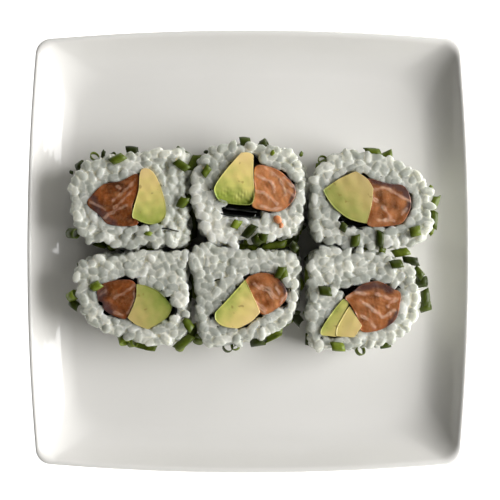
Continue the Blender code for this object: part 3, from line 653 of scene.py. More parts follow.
def salmon_finish():
    """Raw salmon cut across: wet, half-clear orange flesh parted by soft pale seams of fat."""
    material, tree, surface, place = new_finish("wet raw salmon", {
        "Subsurface Weight": 0.35, "Subsurface Radius": (1.0, 0.35, 0.15), "Subsurface Scale": 0.0025,
        "IOR": 1.38, "Coat Weight": 0.45, "Coat Roughness": 0.13})
    # The darkening value is the fish's own dark flesh plus painted shade at its edges and low parts; the
    # lightening value is partly its own pale colour and partly painted light
    pale, dusk, fat = (add(tree, "ShaderNodeAttribute", attribute_name=label).outputs["Fac"]
                       for label in ("pale", "dusk", "fat"))
    clouds = add(tree, "ShaderNodeTexNoise", {"Vector": place, "Scale": lumps(4), "Detail": 3.0,
                                              "Roughness": 0.55})
    cloudy = add(tree, "ShaderNodeMapRange", {"Value": clouds, "From Min": 0.35, "From Max": 0.65})
    flesh = add(tree, "ShaderNodeMix", {0: cloudy, 6: "#4d2b15", 7: "#955326"}, data_type="RGBA").outputs[2]
    grain = add(tree, "ShaderNodeTexNoise", {"Vector": place, "Scale": lumps(0.9), "Detail": 3.0,
                                             "Roughness": 0.6})
    grainy = add(tree, "ShaderNodeMapRange", {"Value": grain, "From Min": 0.45, "From Max": 0.75,
                                              "To Max": 0.25})
    gaps = add(tree, "ShaderNodeTexNoise", {"Vector": place, "Scale": lumps(1.2), "Detail": 3.0})
    broken = add(tree, "ShaderNodeMapRange", {"Value": gaps, "From Min": 0.3, "From Max": 0.65,
                                              "To Min": 0.45})
    seam = add(tree, "ShaderNodeMath", {0: fat, 1: broken}, operation="MULTIPLY")
    marbled = add(tree, "ShaderNodeMapRange", {"Value": seam, "From Min": 0.1, "From Max": 1.2,
                                               "To Max": 0.8})
    for amount, tint in ((grainy, "#b87a50"), (pale, "#ce8b5b"), (dusk, "#4d3a3a"), (marbled, "#e2baa0")):
        flesh = add(tree, "ShaderNodeMix", {0: amount, 6: flesh, 7: tint}, data_type="RGBA").outputs[2]
    dull = add(tree, "ShaderNodeMapRange", {"Value": grain, "From Min": 0.3, "From Max": 0.7,
                                            "To Min": 0.18, "To Max": 0.36})
    raised = add(tree, "ShaderNodeMath", {0: seam, 1: 0.5}, operation="MULTIPLY")
    relief = add(tree, "ShaderNodeMath", {0: grain, 1: 0.7, 2: raised}, operation="MULTIPLY_ADD")
    bump = add(tree, "ShaderNodeBump", {"Height": relief, "Distance": 0.2 * MM, "Strength": 0.7})
    feed(tree, surface, {"Base Color": flesh, "Roughness": dull, "Normal": bump})
    return material


def avocado_finish():
    """Ripe avocado: buttery flesh, yellow by the stone and green towards the skin, smoothly cut."""
    material, tree, surface, place = new_finish("ripe avocado", {
        "Subsurface Weight": 0.12, "Subsurface Radius": (0.8, 0.9, 0.25), "Subsurface Scale": 0.001,
        "IOR": 1.45, "Coat Weight": 0.35, "Coat Roughness": 0.2})
    # The shade value is painted shade: it darkens whole slices for how dimly they are lit
    green, painted_shade_factor = (add(tree, "ShaderNodeAttribute", attribute_name=label).outputs["Fac"]
                        for label in ("green", "shade"))
    upright = add(tree, "ShaderNodeMapping", {"Vector": place, "Scale": (1.0, 1.0, 0.4)})
    streaks = add(tree, "ShaderNodeTexNoise", {"Vector": upright, "Scale": lumps(2.2), "Detail": 3.0})
    uneven = add(tree, "ShaderNodeMapRange", {"Value": streaks, "From Min": 0.3, "From Max": 0.7,
                                              "To Min": -0.1, "To Max": 0.1})
    along = add(tree, "ShaderNodeMath", {0: green, 1: uneven}, operation="ADD")
    flesh = with_stops(add(tree, "ShaderNodeValToRGB", {"Fac": along}),
                       ((0.0, "#f5d793"), (0.35, "#ecd784"), (0.6, "#d0cd70"), (0.85, "#a3b04c"),
                        (1.0, "#7a8f35")))
    shaded = add(tree, "ShaderNodeVectorMath", {0: flesh, "Scale": painted_shade_factor}, operation="SCALE")
    specks = add(tree, "ShaderNodeTexNoise", {"Vector": place, "Scale": lumps(1.3), "Detail": 1.0})
    spots = add(tree, "ShaderNodeMapRange", {"Value": specks, "From Min": 0.71, "From Max": 0.76,
                                             "To Max": 0.5})
    colour = add(tree, "ShaderNodeMix", {0: spots, 6: shaded, 7: "#8a6a30"}, data_type="RGBA").outputs[2]
    dull = add(tree, "ShaderNodeMapRange", {"Value": streaks, "From Min": 0.3, "From Max": 0.7,
                                            "To Min": 0.36, "To Max": 0.5})
    dents = add(tree, "ShaderNodeTexNoise", {"Vector": place, "Scale": lumps(1.4), "Detail": 3.0})
    bump = add(tree, "ShaderNodeBump", {"Height": dents, "Distance": 0.1 * MM, "Strength": 0.7})
    feed(tree, surface, {"Base Color": colour, "Roughness": dull, "Normal": bump})
    return material


def chive_finish():
    """Fresh cut chives: deep green with fine lengthwise veins and a waxy gloss."""
    material, tree, surface, place = new_finish("fresh cut chives", {
        "Subsurface Weight": 0.1, "Subsurface Radius": (0.6, 0.8, 0.2), "Subsurface Scale": 0.001,
        "IOR": 1.37, "Roughness": 0.42, "Coat Weight": 0.12, "Coat Roughness": 0.2})
    tone = add(tree, "ShaderNodeAttribute", attribute_name="tone").outputs["Fac"]
    shade = with_stops(add(tree, "ShaderNodeValToRGB", {"Fac": tone}),
                       ((0.0, "#222a00"), (0.5, "#4c5a08"), (1.0, "#7f8f28")))
    fibres = add(tree, "ShaderNodeTexNoise", {"Vector": place, "Scale": lumps(0.5)})
    veins = add(tree, "ShaderNodeMapRange", {"Value": fibres, "From Min": 0.3, "From Max": 0.7,
                                             "To Max": 0.4})
    colour = add(tree, "ShaderNodeMix", {0: veins, 6: shade, 7: "#36420a"}, data_type="RGBA").outputs[2]
    bump = add(tree, "ShaderNodeBump", {"Height": fibres, "Distance": 0.08 * MM, "Strength": 0.6})
    feed(tree, surface, {"Base Color": colour, "Normal": bump})
    return material


def table_finish():
    """A matt white table top that shines evenly, so that it stays white beside the plate."""
    material, tree, surface, place = new_finish("matt white table", {
        "Roughness": 0.6, "Emission Strength": 1.0, "Emission Color": "#ffffff"})
    cloud = add(tree, "ShaderNodeTexNoise", {"Vector": place, "Scale": lumps(40)})
    colour = add(tree, "ShaderNodeMix", {0: cloud, 6: "#f6f6f4", 7: "#f9f9f8"}, data_type="RGBA").outputs[2]
    feed(tree, surface, {"Base Color": colour})
    return material


# Laying small shapes by Geometry Nodes

def laying_tree():
    """Lays one of the shapes at every place, turned and grown by what the place says, round a core."""
    tree = bpy.data.node_groups.new("bits laid on a roll", "GeometryNodeTree")
    sockets = (("Places", "Geometry"), ("Shapes", "Collection"), ("Core", "Object"), ("Length", "Float"),
               ("Width", "Float"), ("Unevenness", "Float"), ("Seed", "Int"), ("Finish", "Material"))
    for label, kind in sockets:
        tree.interface.new_socket(label, in_out="INPUT", socket_type="NodeSocket" + kind)
    tree.interface.new_socket("Bits", in_out="OUTPUT", socket_type="NodeSocketGeometry")
    given = add(tree, "NodeGroupInput").outputs
    shapes = add(tree, "GeometryNodeCollectionInfo", {"Collection": given["Shapes"],
                 "Separate Children": True, "Reset Children": True})
    turn, grow, kind = (add(tree, "GeometryNodeInputNamedAttribute", {"Name": label}, data_type=form)
                        for label, form in (("turn", "FLOAT_VECTOR"), ("grow", "FLOAT_VECTOR"),
                                            ("kind", "INT")))
    size = add(tree, "ShaderNodeCombineXYZ", {"X": given["Length"], "Y": given["Width"],
                                              "Z": given["Width"]})
    size = add(tree, "ShaderNodeVectorMath", {0: size, 1: grow}, operation="MULTIPLY")
    least = add(tree, "ShaderNodeMath", {0: 1.0, 1: given["Unevenness"]}, operation="SUBTRACT")
    most = add(tree, "ShaderNodeMath", {0: 1.0, 1: given["Unevenness"]}, operation="ADD")
    uneven = add(tree, "FunctionNodeRandomValue", {2: least, 3: most, "Seed": given["Seed"]},
                 data_type="FLOAT")
    size = add(tree, "ShaderNodeVectorMath", {0: size, "Scale": uneven.outputs[1]}, operation="SCALE")
    laid = add(tree, "GeometryNodeInstanceOnPoints", {
        "Points": given["Places"], "Instance": shapes, "Pick Instance": True, "Instance Index": kind,
        "Rotation": turn, "Scale": size})
    core = add(tree, "GeometryNodeObjectInfo", {"Object": given["Core"]}).outputs["Geometry"]
    whole = add(tree, "GeometryNodeJoinGeometry", {"Geometry": laid})
    tree.links.new(core, whole.inputs["Geometry"])
    real = add(tree, "GeometryNodeRealizeInstances", {"Geometry": whole})
    coated = add(tree, "GeometryNodeSetMaterial", {"Geometry": real, "Material": given["Finish"]})
    add(tree, "NodeGroupOutput", {"Bits": coated})
    return tree


def lay(tree, name, bits, core, length, width, unevenness, seed, shapes, finish):
    """One plain mesh of all the bits, given as place, axis turn, growth, kind and tone."""
    places = bpy.data.meshes.new(name)
    places.from_pydata([tuple(co * MM for co in bit[0]) for bit in bits], [], [])
    for label, index, kind, field in (("turn", 1, "FLOAT_VECTOR", "vector"), ("kind", 3, "INT", "value"),
                                      ("grow", 2, "FLOAT_VECTOR", "vector"), ("tone", 4, "FLOAT", "value")):
        data = np.array([bit[index] for bit in bits]).ravel()
        places.attributes.new(label, kind, "POINT").data.foreach_set(field, data)
    item = bpy.data.objects.new(name, places)
    bpy.context.scene.collection.objects.link(item)
    laying = item.modifiers.new("laying", "NODES")
    laying.node_group = tree
    given = {"Shapes": shapes, "Core": core, "Length": length * MM, "Width": width * MM,
             "Unevenness": unevenness, "Seed": seed, "Finish": finish}
    for socket in tree.interface.items_tree:
        if socket.in_out == "INPUT" and socket.name in given:
            laying[socket.identifier] = given[socket.name]
    applied(item)
    for label in ("turn", "grow", "kind"):
        if label in item.data.attributes:
            item.data.attributes.remove(item.data.attributes[label])
    return item


def applied(item):
    """Turns a piece's modifiers into its plain mesh."""
    bpy.context.view_layer.update()
    mesh = bpy.data.meshes.new_from_object(item.evaluated_get(bpy.context.evaluated_depsgraph_get()))
    item.modifiers.clear()
    item.data = mesh
    mesh.name = item.name


def hollows(item):
    """How far each point lies below its smoothed surroundings, in millimetres, as in seams."""
    mesh, points = item.data, points_of(item)
    pairs = np.empty(len(mesh.edges) * 2, np.int32)
    mesh.edges.foreach_get("vertices", pairs)
    one, other = pairs.reshape(-1, 2).T
    size = len(points)
    sharing = np.bincount(pairs, minlength=size)
    smooth = points
    for _ in range(SMOOTHING_ROUNDS):
        near = [np.bincount(one, smooth[other, k], size) + np.bincount(other, smooth[one, k], size)
                for k in range(3)]
        smooth = (smooth + np.column_stack(near) / sharing[:, None]) / 2
    normals = np.empty(size * 3, np.float32)
    mesh.vertices.foreach_get("normal", normals)
    return np.sum((smooth - points) * normals.reshape(-1, 3), axis=1)


def welded(item, finish):
    """Joins grains that touch under one skin, so that light passes between them, and keeps their tones,
    adding painted light in the seams and painted shade on the crests.
    """
    mesh = item.data
    tones = np.empty(len(mesh.vertices))
    mesh.attributes["tone"].data.foreach_get("value", tones)
    corners = [tuple(face.vertices) for face in mesh.polygons]
    skin = BVHTree.FromPolygons([v.co for v in mesh.vertices], corners)
    weld = item.modifiers.new("weld", "REMESH")
    weld.mode = "VOXEL"
    weld.voxel_size = WELD_SIZE * MM
    applied(item)
    thinned = item.modifiers.new("fewer faces on the flats", "DECIMATE")
    thinned.ratio = min(1.0, RICE_TRIANGLES / (2 * len(item.data.polygons)))
    applied(item)
    mesh = item.data
    found = np.array([tones[corners[skin.find_nearest(v.co)[2]][0]] for v in mesh.vertices])
    # Painted light in the seams, where the grains shade one another, and painted shade on their crests
    found += PAINTED_SEAM_LIGHT * np.clip(hollows(item) / SEAM_DEPTH, -PAINTED_CREST_SHADE, 1.0)
    set_values(mesh, "tone", np.clip(found, 0.0, 1.0))
    mesh.shade_smooth()
    mesh.materials.clear()
    mesh.materials.append(finish)


def shape_set(name, shapes):
    """A collection of small shapes to lay, named so that they stay in order."""
    shelf = bpy.data.collections.new(name)
    bpy.context.scene.collection.children.link(shelf)
    for number, (points, faces) in enumerate(shapes):
        item = add_mesh(f"{name} {number:02d}", np.array(points) / MM, faces, None)
        bpy.context.scene.collection.objects.unlink(item)
        shelf.objects.link(item)
    return shelf


def put_away(shelf):
    for item in list(shelf.objects):
        bpy.data.objects.remove(item, do_unlink=True)
    bpy.data.collections.remove(shelf)


def grain_shapes(rng):
    """Grains of unit length along X: plump, blunt, a little bent and lumpy, the last ones cut short."""
    around = np.linspace(0, 2 * math.pi, GRAIN_SIDES, endpoint=False)
    stations = (-0.93, -0.66, -0.22, 0.22, 0.66, 0.93)
    shapes = []
    for number in range(GRAIN_KINDS):
        bend, fuller, twist = rng.uniform(0.0, 0.14), rng.uniform(-0.2, 0.2), rng.uniform(0, 6)
        cut_at = 0.5 if number < GRAIN_KINDS - CUT_GRAINS else rng.uniform(0.15, 0.3)
        points = [(-0.5, 0.0, 0.0)]
        for u in stations:
            radius = 0.5 * math.sqrt(1 - abs(u) ** 2.6) * (1 + fuller * u)
            lumpy = (1 + 0.09 * np.sin(2 * around + twist + 2 * u)
                     + 0.05 * np.sin(3 * around - twist + 4 * u))
            points += [(min(0.5 * u, cut_at), r * radius * math.cos(a) + bend * (1 - u * u) - bend / 2,
                        r * radius * math.sin(a)) for a, r in zip(around, lumpy)]
        points.append((cut_at, -bend / 2, 0.0))
        last = len(points) - 1
        end = last - GRAIN_SIDES
        faces = ring_faces(len(stations), GRAIN_SIDES, 1)
        faces += [(0, 1 + (i + 1) % GRAIN_SIDES, 1 + i) for i in range(GRAIN_SIDES)]
        faces += [(last, end + i, end + (i + 1) % GRAIN_SIDES) for i in range(GRAIN_SIDES)]
        shapes.append((points, faces))
    return shapes


def chive_shape(arc, wall, stations, squash, taper, curl, skew):
    """A bit of a hollow leaf of unit length along X, whole or split along its side, its ends cut askew."""
    whole = arc >= 360
    count = 13 if whole else 8
    angles = np.radians(np.linspace(-arc / 2, arc / 2, count + whole)[:count]) + math.pi / 2
    points = []
    for u in np.linspace(-1, 1, stations):
        width = 1 - taper * u * u
        for radius in (0.5, 0.5 - wall):
            for a in angles:
                y = radius * math.cos(a) * width
                z = radius * math.sin(a) * width * (1 - squash * (1 - u * u)) + curl * (1 - u * u)
                points.append((0.5 * u + skew * y, y, z))
    faces = []
    step = 2 * count
    sides = count if whole else count - 1
    for s in range(stations - 1):
        low = s * step
        for i in range(sides):
            j = (i + 1) % count
            faces.append((low + i, low + j, low + step + j, low + step + i))
            faces.append((low + count + i, low + step + count + i, low + step + count + j, low + count + j))
        if not whole:
            for i in (0, count - 1):
                faces.append((low + i, low + step + i, low + step + count + i, low + count + i))
    for low in (0, (stations - 1) * step):
        for i in range(sides):
            j = (i + 1) % count
            faces.append((low + i, low + j, low + count + j, low + count + i))
    return points, faces


# Plate

def plate_loop(inset):
    """A square with bowed sides and round corners, this far in from the edge."""
    half = PLATE_HALF - inset
    radius = CORNER_RADIUS + CORNER_GROWTH * inset
    reach = half - SIDE_BOW * (half / PLATE_HALF) - radius
    bow = half - radius - reach
    quarter = []
    for i in range(SIDE_POINTS):
        y = reach * (2 * i / SIDE_POINTS - 1)
        quarter.append((half - bow * (y / reach) ** 2, y))
    tilt = math.atan2(2 * bow, reach)
    for i in range(CORNER_POINTS):
        angle = tilt + (math.pi / 2 - 2 * tilt) * i / CORNER_POINTS
        quarter.append((reach + radius * math.cos(angle), reach + radius * math.sin(angle)))
    loop = []
    for turn in range(4):
        c, s = round(math.cos(turn * math.pi / 2)), round(math.sin(turn * math.pi / 2))
        loop += [(x * c - y * s, x * s + y * c) for x, y in quarter]
    return loop


def make_plate(finish):
    rise = LIP[0][1] - WELL_FLOOR
    inside = [(WALL_START + WALL_WIDTH * s, WELL_FLOOR + rise * (1 - s) ** WALL_STEEPNESS)
              for s in np.linspace(1.0, 0.0, WALL_RINGS)[:-1]]
    under = smooth_curve(UNDERSIDE, 1.1, False)
    stations = inside + list(LIP) + [tuple(p) for p in under] + list(FOOT)
    points = []
    for inset, height in stations:
        points += [(x, y, height) for x, y in plate_loop(inset)]
    count = len(points) // len(stations)
    faces = ring_faces(len(stations), count)
    faces.append(tuple(range(count)))
    faces.append(tuple(range(len(points) - count, len(points))))
    plate = add_mesh("plate_porcelain", points, faces, finish)
    stand_for(plate, "plate")


# Rice

def rice_ring(roll, outline, height, inset):
    """The roll's outer outline at a height, drawn in by an inset."""
    heights = [s[0] for s in SECTIONS]
    narrowed, shouldered, leaning = (np.interp(height, heights, [s[k] for s in SECTIONS])
                                     for k in (1, 2, 3))
    ring = grown(outline, -narrowed - inset)
    pull = roll["shoulder"] * shouldered * np.clip(ring[:, 0] / outline[:, 0].max(), 0, 1) ** 2
    return ring + np.column_stack([-pull, np.full(len(ring), roll["lean"] * leaning)])


def closed_part(path):
    """The nori path from its start up to where it comes round to its start again, and the tail."""
    distances = np.linalg.norm(path - path[0], axis=1)
    half = len(path) // 2
    meets = half + int(np.argmin(distances[half:])) + 1
    return anticlockwise(path[:meets]), path[meets - 1:]


def spread_out(points, early, spacing, rng):
    """Picks places at random that keep this far from one another, the early ones first."""
    chosen = []
    kept = np.empty((0, 3))
    for i in np.concatenate([rng.permutation(early), early + rng.permutation(len(points) - early)]):
        if not chosen or np.min(np.sum((kept - points[i]) ** 2, axis=1)) > spacing**2:
            chosen.append(int(i))
            kept = points[chosen]
    return chosen


def falling(slope, flat):
    """How much lower a face lies past a line, given the way down, where it starts and its steepness."""
    way, start, fall = slope
    return fall * np.maximum(flat @ np.array(way, float) - start, 0)


def kept_clear(roll, places):
    """Which places are clear of the roll's open dark spots and of the chives that show from above."""
    clear = np.ones(len(places), bool)
    for x, y, radius in roll["bare"]:
        clear &= (np.hypot(places[:, 0] - x, places[:, 1] - y) > radius) | (places[:, 2] < TOP - BARE_DEPTH)
    for x, y, z, turn, lift, kind, length in roll["chives"]:
        reach = max(length / 2 * math.cos(math.radians(lift)) - CHIVE_END, 0.1)
        way = np.array((math.cos(math.radians(turn)), math.sin(math.radians(turn)))) * reach
        apart = nearest_on(places[:, :2], np.array(((x, y) - way, (x, y) + way)), False)[1]
        room = FLECK_ROOM if kind == "fleck" else CHIVE_ROOM
        clear &= (apart > room) | (places[:, 2] < z - CHIVE_DEPTH)
    return clear


def rice_places(roll, outline, hole, tail, depth, rng):
    """Places for grain centres this far below the surface, each with its way out of the rice.

    The rows that lean over the nori and that round off the outer edge come first, and the number of
    places in them is told.
    """
    slump = roll.get("slump", LEVEL)
    up = (0.0, 0.0, 1.0)
    sides = np.column_stack([side_normals(outline, True), np.zeros(len(outline))])
    rim = hole + (grown(hole, 1) - hole) * rng.uniform(*RIM_STRAY, (len(hole), 1))
    rim = rim[nearest_on(rim, tail, False)[1] > TAIL_ROOM]
    edge = rice_ring(roll, outline, SHOULDER, depth * 0.6)
    edge = edge + sides[:, :2] * rng.uniform(*EDGE_STRAY, (len(sides), 1))
    places = [np.column_stack([rim, TOP - depth - falling(slump, rim)]),
              np.column_stack([edge, TOP - depth * 1.05 - falling(slump, edge)])]
    ways = [np.tile(up, (len(rim), 1)), (sides + up) / math.sqrt(2)]
    early = len(rim) + len(edge)
    for height in np.arange(BASE + depth * 0.8, TOP - depth - 0.6, WALL_STEP):
        ring = rice_ring(roll, outline, height, depth)
        places.append(np.column_stack([ring, np.minimum(height, TOP - depth - falling(slump, ring))]))
        ways.append(sides)
    low, high = outline.min(axis=0), outline.max(axis=0)
    top = low + rng.random((TOP_TRIES, 2)) * (high - low)
    top = top[(depth_in(top, rice_ring(roll, outline, SHOULDER, 0)) > depth)
              & (depth_in(top, hole) < -NORI_ROOM) & (nearest_on(top, tail, False)[1] > TAIL_ROOM)]
    places.append(np.column_stack([top, TOP - depth - falling(slump, top)]))
    ways.append(np.tile(up, (len(top), 1)))
    places, ways = np.vstack(places), np.vstack(ways)
    clear = kept_clear(roll, places)
    return places[clear], ways[clear], int(np.sum(clear[:early]))


def grain_way(place, out, hole, rng):
    """The way a grain lies: any way along the surface, but mostly along the nori right beside it."""
    flat = np.cross(out, rng.normal(size=3))
    _, apart, travel = nearest_on(place[None, :2], hole, True)
    if apart[0] < BESIDE_NORI and out[2] > ON_TOP:
        lean = rng.normal(0, GRAIN_TURN)
        x, y = travel[0]
        flat = np.array([x * math.cos(lean) - y * math.sin(lean),
                         x * math.sin(lean) + y * math.cos(lean), 0.0])
    along = flat / np.linalg.norm(flat) + out * rng.normal(0, GRAIN_TILT)
    return along / np.linalg.norm(along)


def rice_bits(roll, outline, hole, tail, rng):
    """Grains laid along the surface in two layers and in clumps, each as the bits that are laid."""
    bits = []
    seed = rng.integers(1000)
    for depth, spacing, tone_with_depth_shade in GRAIN_LAYERS:
        places, ways, early = rice_places(roll, outline, hole, tail, depth, rng)
        clumps = ripples(places, CLUMP_SIZE, seed)
        for i in spread_out(places, early, spacing, rng):
            along = grain_way(places[i], ways[i], hole, rng)
            place = places[i] + ways[i] * (rng.uniform(-GRAIN_STRAY, GRAIN_STRAY) + CLUMP_RISE * clumps[i])
            turn = (rng.uniform(0, ALL_ROUND), -math.asin(along[2]), math.atan2(along[1], along[0]))
            grow = [rng.uniform(least, most) for least, most in GRAIN_GROWTH]
            # The inner layer's lower tone is painted shade in the gaps; the clumps and the spread vary it
            # at random
            tone = tone_with_depth_shade + CLUMP_TONE * clumps[i] + rng.uniform(-TONE_SPREAD, TONE_SPREAD)
            # Painted light round some places and painted shade round others: lighter where the rice is lit,
            # darker where a neighbouring roll casts shade on it
            for x, y, radius, change in roll.get("painted_rice_shading", ()):
                tone += change * math.exp(-(math.dist(places[i][:2], (x, y)) / radius) ** 2)
            bits.append((place, turn, grow, int(rng.integers(GRAIN_KINDS)), np.clip(tone, 0.0, 1.0)))
    return bits


def round_the_sheet(hole, tail):
    """The hole's outline just outside the nori, also where the tail runs close beside it."""
    near, apart, _ = nearest_on(hole, tail, False)
    beside = (apart < BESIDE_NORI) & (apart > 0.2) & (depth_in(near, hole) < 0)
    out = (near - hole) / np.maximum(apart, 0.01)[:, None]
    return grown(hole, NORI_THICKNESS / 2 + 0.1) + np.where(beside[:, None], out * apart[:, None], 0)


def rice_core(name, roll, outline, hole):
    """The mass of rice behind the grains, with the hole for the filling."""
    outer = rice_ring(roll, outline, BASE + 11, CORE_INSET)
    loops = [[Vector((x, y, 0)) for x, y in loop] for loop in (outer, hole[::-1])]
    flat = np.vstack([outer, hole[::-1]])
    level = TOP - CORE_DEPTH - CORE_SLUMP * falling(roll.get("slump", LEVEL), flat)
    points = np.vstack([np.column_stack([flat, z]) for z in (np.full(len(flat), BASE), level)])
    count = len(flat)
    faces = [tuple(t) for t in tessellate_polygon(loops)]
    faces += [tuple(i + count for i in t) for t in faces]
    for first, size in ((0, len(outer)), (len(outer), len(hole))):
        faces += [(first + i, first + (i + 1) % size, count + first + (i + 1) % size, count + first + i)
                  for i in range(size)]
    # Its low tone is painted shade where the core shows between the grains
    return add_mesh(name, points, faces, None, {"tone": np.full(len(points), CORE_SHADE_TONE)})


def make_rice(number, roll, tree, grains, finish, rng):
    outline = smooth_curve(roll["rice"], OUTLINE_STEP, True)
    hole, tail = closed_part(smooth_curve(roll["nori"], OUTLINE_STEP, False))
    bits = rice_bits(roll, outline, hole, tail, rng)
    core = rice_core("core", roll, outline, round_the_sheet(hole, tail))
    rice = lay(tree, f"roll_{number}_rice_grains", bits, core, GRAIN_LENGTH, GRAIN_WIDTH, 0.08, number,
               grains, finish)
    bpy.data.objects.remove(core, do_unlink=True)
    welded(rice, finish)
    points = points_of(rice)
    z = points[:, 2]
    z = np.where(z > TOP - CUT_LEVEL, TOP - CUT_LEVEL + CUT_SQUEEZE * (z - TOP + CUT_LEVEL), z)
    points[:, 2] = np.where(z < BASE, BASE - FOOT_DROP + FOOT_SQUEEZE * (z - BASE), z)
    points[:, :2] += roll["centre"]
    set_points(rice, points)
    stand_for(rice, f"roll_{number}_rice")


# Chives

def chive_bit(x, y, z, turn, lift, kind, length, rng):
    """A bit at its place, rolled over a little, or right over where it hangs low on a wall."""
    width = CHIVE_KINDS[kind][0]
    over = math.pi if kind == "half" and z < TOP - 2 and rng.uniform() < 0.35 else 0.0
    return ((x, y, z), (over + rng.uniform(-0.6, 0.6), -math.radians(lift), math.radians(turn)),
            (length, width, width * rng.uniform(0.75, 1.0)), list(CHIVE_KINDS).index(kind),
            rng.uniform(0.0, 1.0))


def settled(roll, outline, x, y, z, lift, length):
    """Puts a bit of the photo on top of the grains, or else on the wall just outside them."""
    wall = rice_ring(roll, outline, min(z, SHOULDER), 0)
    place = np.array([[x, y]])
    outside = -depth_in(place, wall)[0]
    if outside < -1.0:
        z = max(z, TOP - 0.35 + 0.2 * math.sin(math.radians(lift)) * length)
    elif outside > 1.4 or outside < 0.9:
        near, _, travel = nearest_on(place, wall, True)
        x, y = near[0] + np.array([travel[0][1], -travel[0][0]]) * np.clip(outside, *CHIVE_REACH)
    return x, y, z


def make_chives(number, roll, tree, shapes, finish, rng):
    outline = smooth_curve(roll["rice"], OUTLINE_STEP, True)
    bits = []
    for x, y, z, turn, lift, kind, length in roll["chives"]:
        place = settled(roll, outline, x, y, z, lift, length)
        bits.append(chive_bit(*place, turn, lift, kind, length, rng))
    for _ in range(WALL_CHIVES):
        z = rng.uniform(BASE + 2.5, TOP - 9)
        wall = rice_ring(roll, outline, z, 0.7)
        i = int(rng.integers(len(wall)))
        x, y = wall[(i + 1) % len(wall)] - wall[i - 1]
        kind = WALL_KINDS[int(rng.integers(len(WALL_KINDS)))]
        turn = math.degrees(math.atan2(y, x)) + rng.normal(0, 25)
        bits.append(chive_bit(*wall[i], z, turn, rng.normal(0, 30), kind, rng.uniform(*WALL_LENGTHS), rng))
    chives = lay(tree, f"roll_{number}_chives", bits, None, 1.0, CHIVE_WIDTH, 0.06, 40 + number, shapes,
                 finish)
    points = points_of(chives)
    points[:, 2] = np.clip(points[:, 2], BASE, TALLEST)
    points[:, :2] += roll["centre"]
    set_points(chives, points)
    stand_for(chives, f"roll_{number}_rice")


# Nori and fillings

def make_nori(number, roll, finish):
    """The sheet on edge: a crinkled band whose cut top edge is a little ragged."""
    path = smooth_curve(roll["nori"], NORI_STEP, False)
    count = len(path)
    normals = side_normals(path, False)
    points = []
    for share in np.linspace(0, 1, NORI_LEVELS):
        crinkle = (0.12 * share * ripples(path, 7, number) + 0.05 * ripples(path, 2.2, number + 9))[:, None]
        middle = path + normals * crinkle
        ragged = 0.35 * share * ripples(path, 5, number + 20)
        z = BASE + (NORI_TOP - BASE) * share + np.minimum(ragged, 0.2)
        half = normals * NORI_THICKNESS / 2
        band = np.vstack([middle + half, (middle - half)[::-1]])
        points.append(np.column_stack([band + roll["centre"], np.concatenate([z, z[::-1]])]))
    points = np.vstack(points)
    faces = ring_faces(NORI_LEVELS, 2 * count)
    for low in (0, (NORI_LEVELS - 1) * 2 * count):
        faces += [(low + i, low + i + 1, low + 2 * count - 2 - i, low + 2 * count - 1 - i)
                  for i in range(count - 1)]
    nori = add_mesh(f"roll_{number}_nori_sheet", points, faces, finish)
    nori.data.set_sharp_from_angle(angle=math.radians(50))
    stand_for(nori, f"roll_{number}_nori")


def filling_mesh(name, loop, centre, top, edge, relief, finish, describe):
    """A strip cut off with the roll: an upright wall, a rounded edge and an uneven cut face."""
    middle = loop.mean(axis=0)
    reach = np.linalg.norm(loop - middle, axis=1)
    count = len(loop)
    rings = []
    for level in np.linspace(BASE, top - edge, FILLING_LEVELS):
        bulge = 0.1 * ripples(np.column_stack([loop, np.full(count, level)]), 8, len(rings))
        rings.append(np.column_stack([grown(loop, -SWELL) + side_normals(loop, True) * bulge[:, None],
                                      np.full(count, level)]))
    insets = [edge * (1 - math.cos(a)) for a in np.linspace(0, math.pi / 2, EDGE_RINGS + 1)[1:]]
    for inset in insets + list(np.linspace(edge + 0.35, reach.max() - 0.25, FACE_RINGS)):
        factor = np.clip(1 - inset / reach, 0.015, 1) if inset > edge else 1 - inset / reach
        flat = middle + (loop - middle) * factor[:, None]
        drop = edge * (1 - math.sqrt(max(0.0, 1 - (1 - min(inset / edge, 1)) ** 2)))
        rings.append(np.column_stack([flat, top - drop + relief(flat) * min(1.0, inset / edge)]))
    points = np.vstack(rings + [[[*middle, top + relief(middle[None])[0]]]])
    faces = ring_faces(len(rings), count)
    faces.append(tuple(range(count)))
    last = (len(rings) - 1) * count
    faces += [(last + i, last + (i + 1) % count, len(points) - 1) for i in range(count)]
    values = describe(points)
    points[:, :2] += centre
    return add_mesh(name, points, faces, finish, values)


def seam_strength(points, lines, width):
    """How near each point is to the pale seams, from 0 to 1."""
    strongest = np.zeros(len(points))
    wander = SEAM_WANDER * ripples(points[:, :2], 3, 5)
    for line in lines:
        path = smooth_curve(line, 0.5, False)
        apart = nearest_on(points[:, :2], path, False)[1]
        strongest = np.maximum(strongest, np.exp(-((apart + wander) / width) ** 2))
    return strongest


def strip_outline(points, hole):
    """The outline of a strip of filling, swollen against its neighbours and kept inside the nori."""
    return kept_inside(grown(smooth_curve(points, FILLING_STEP, True), SWELL), hole, LINING_ROOM)


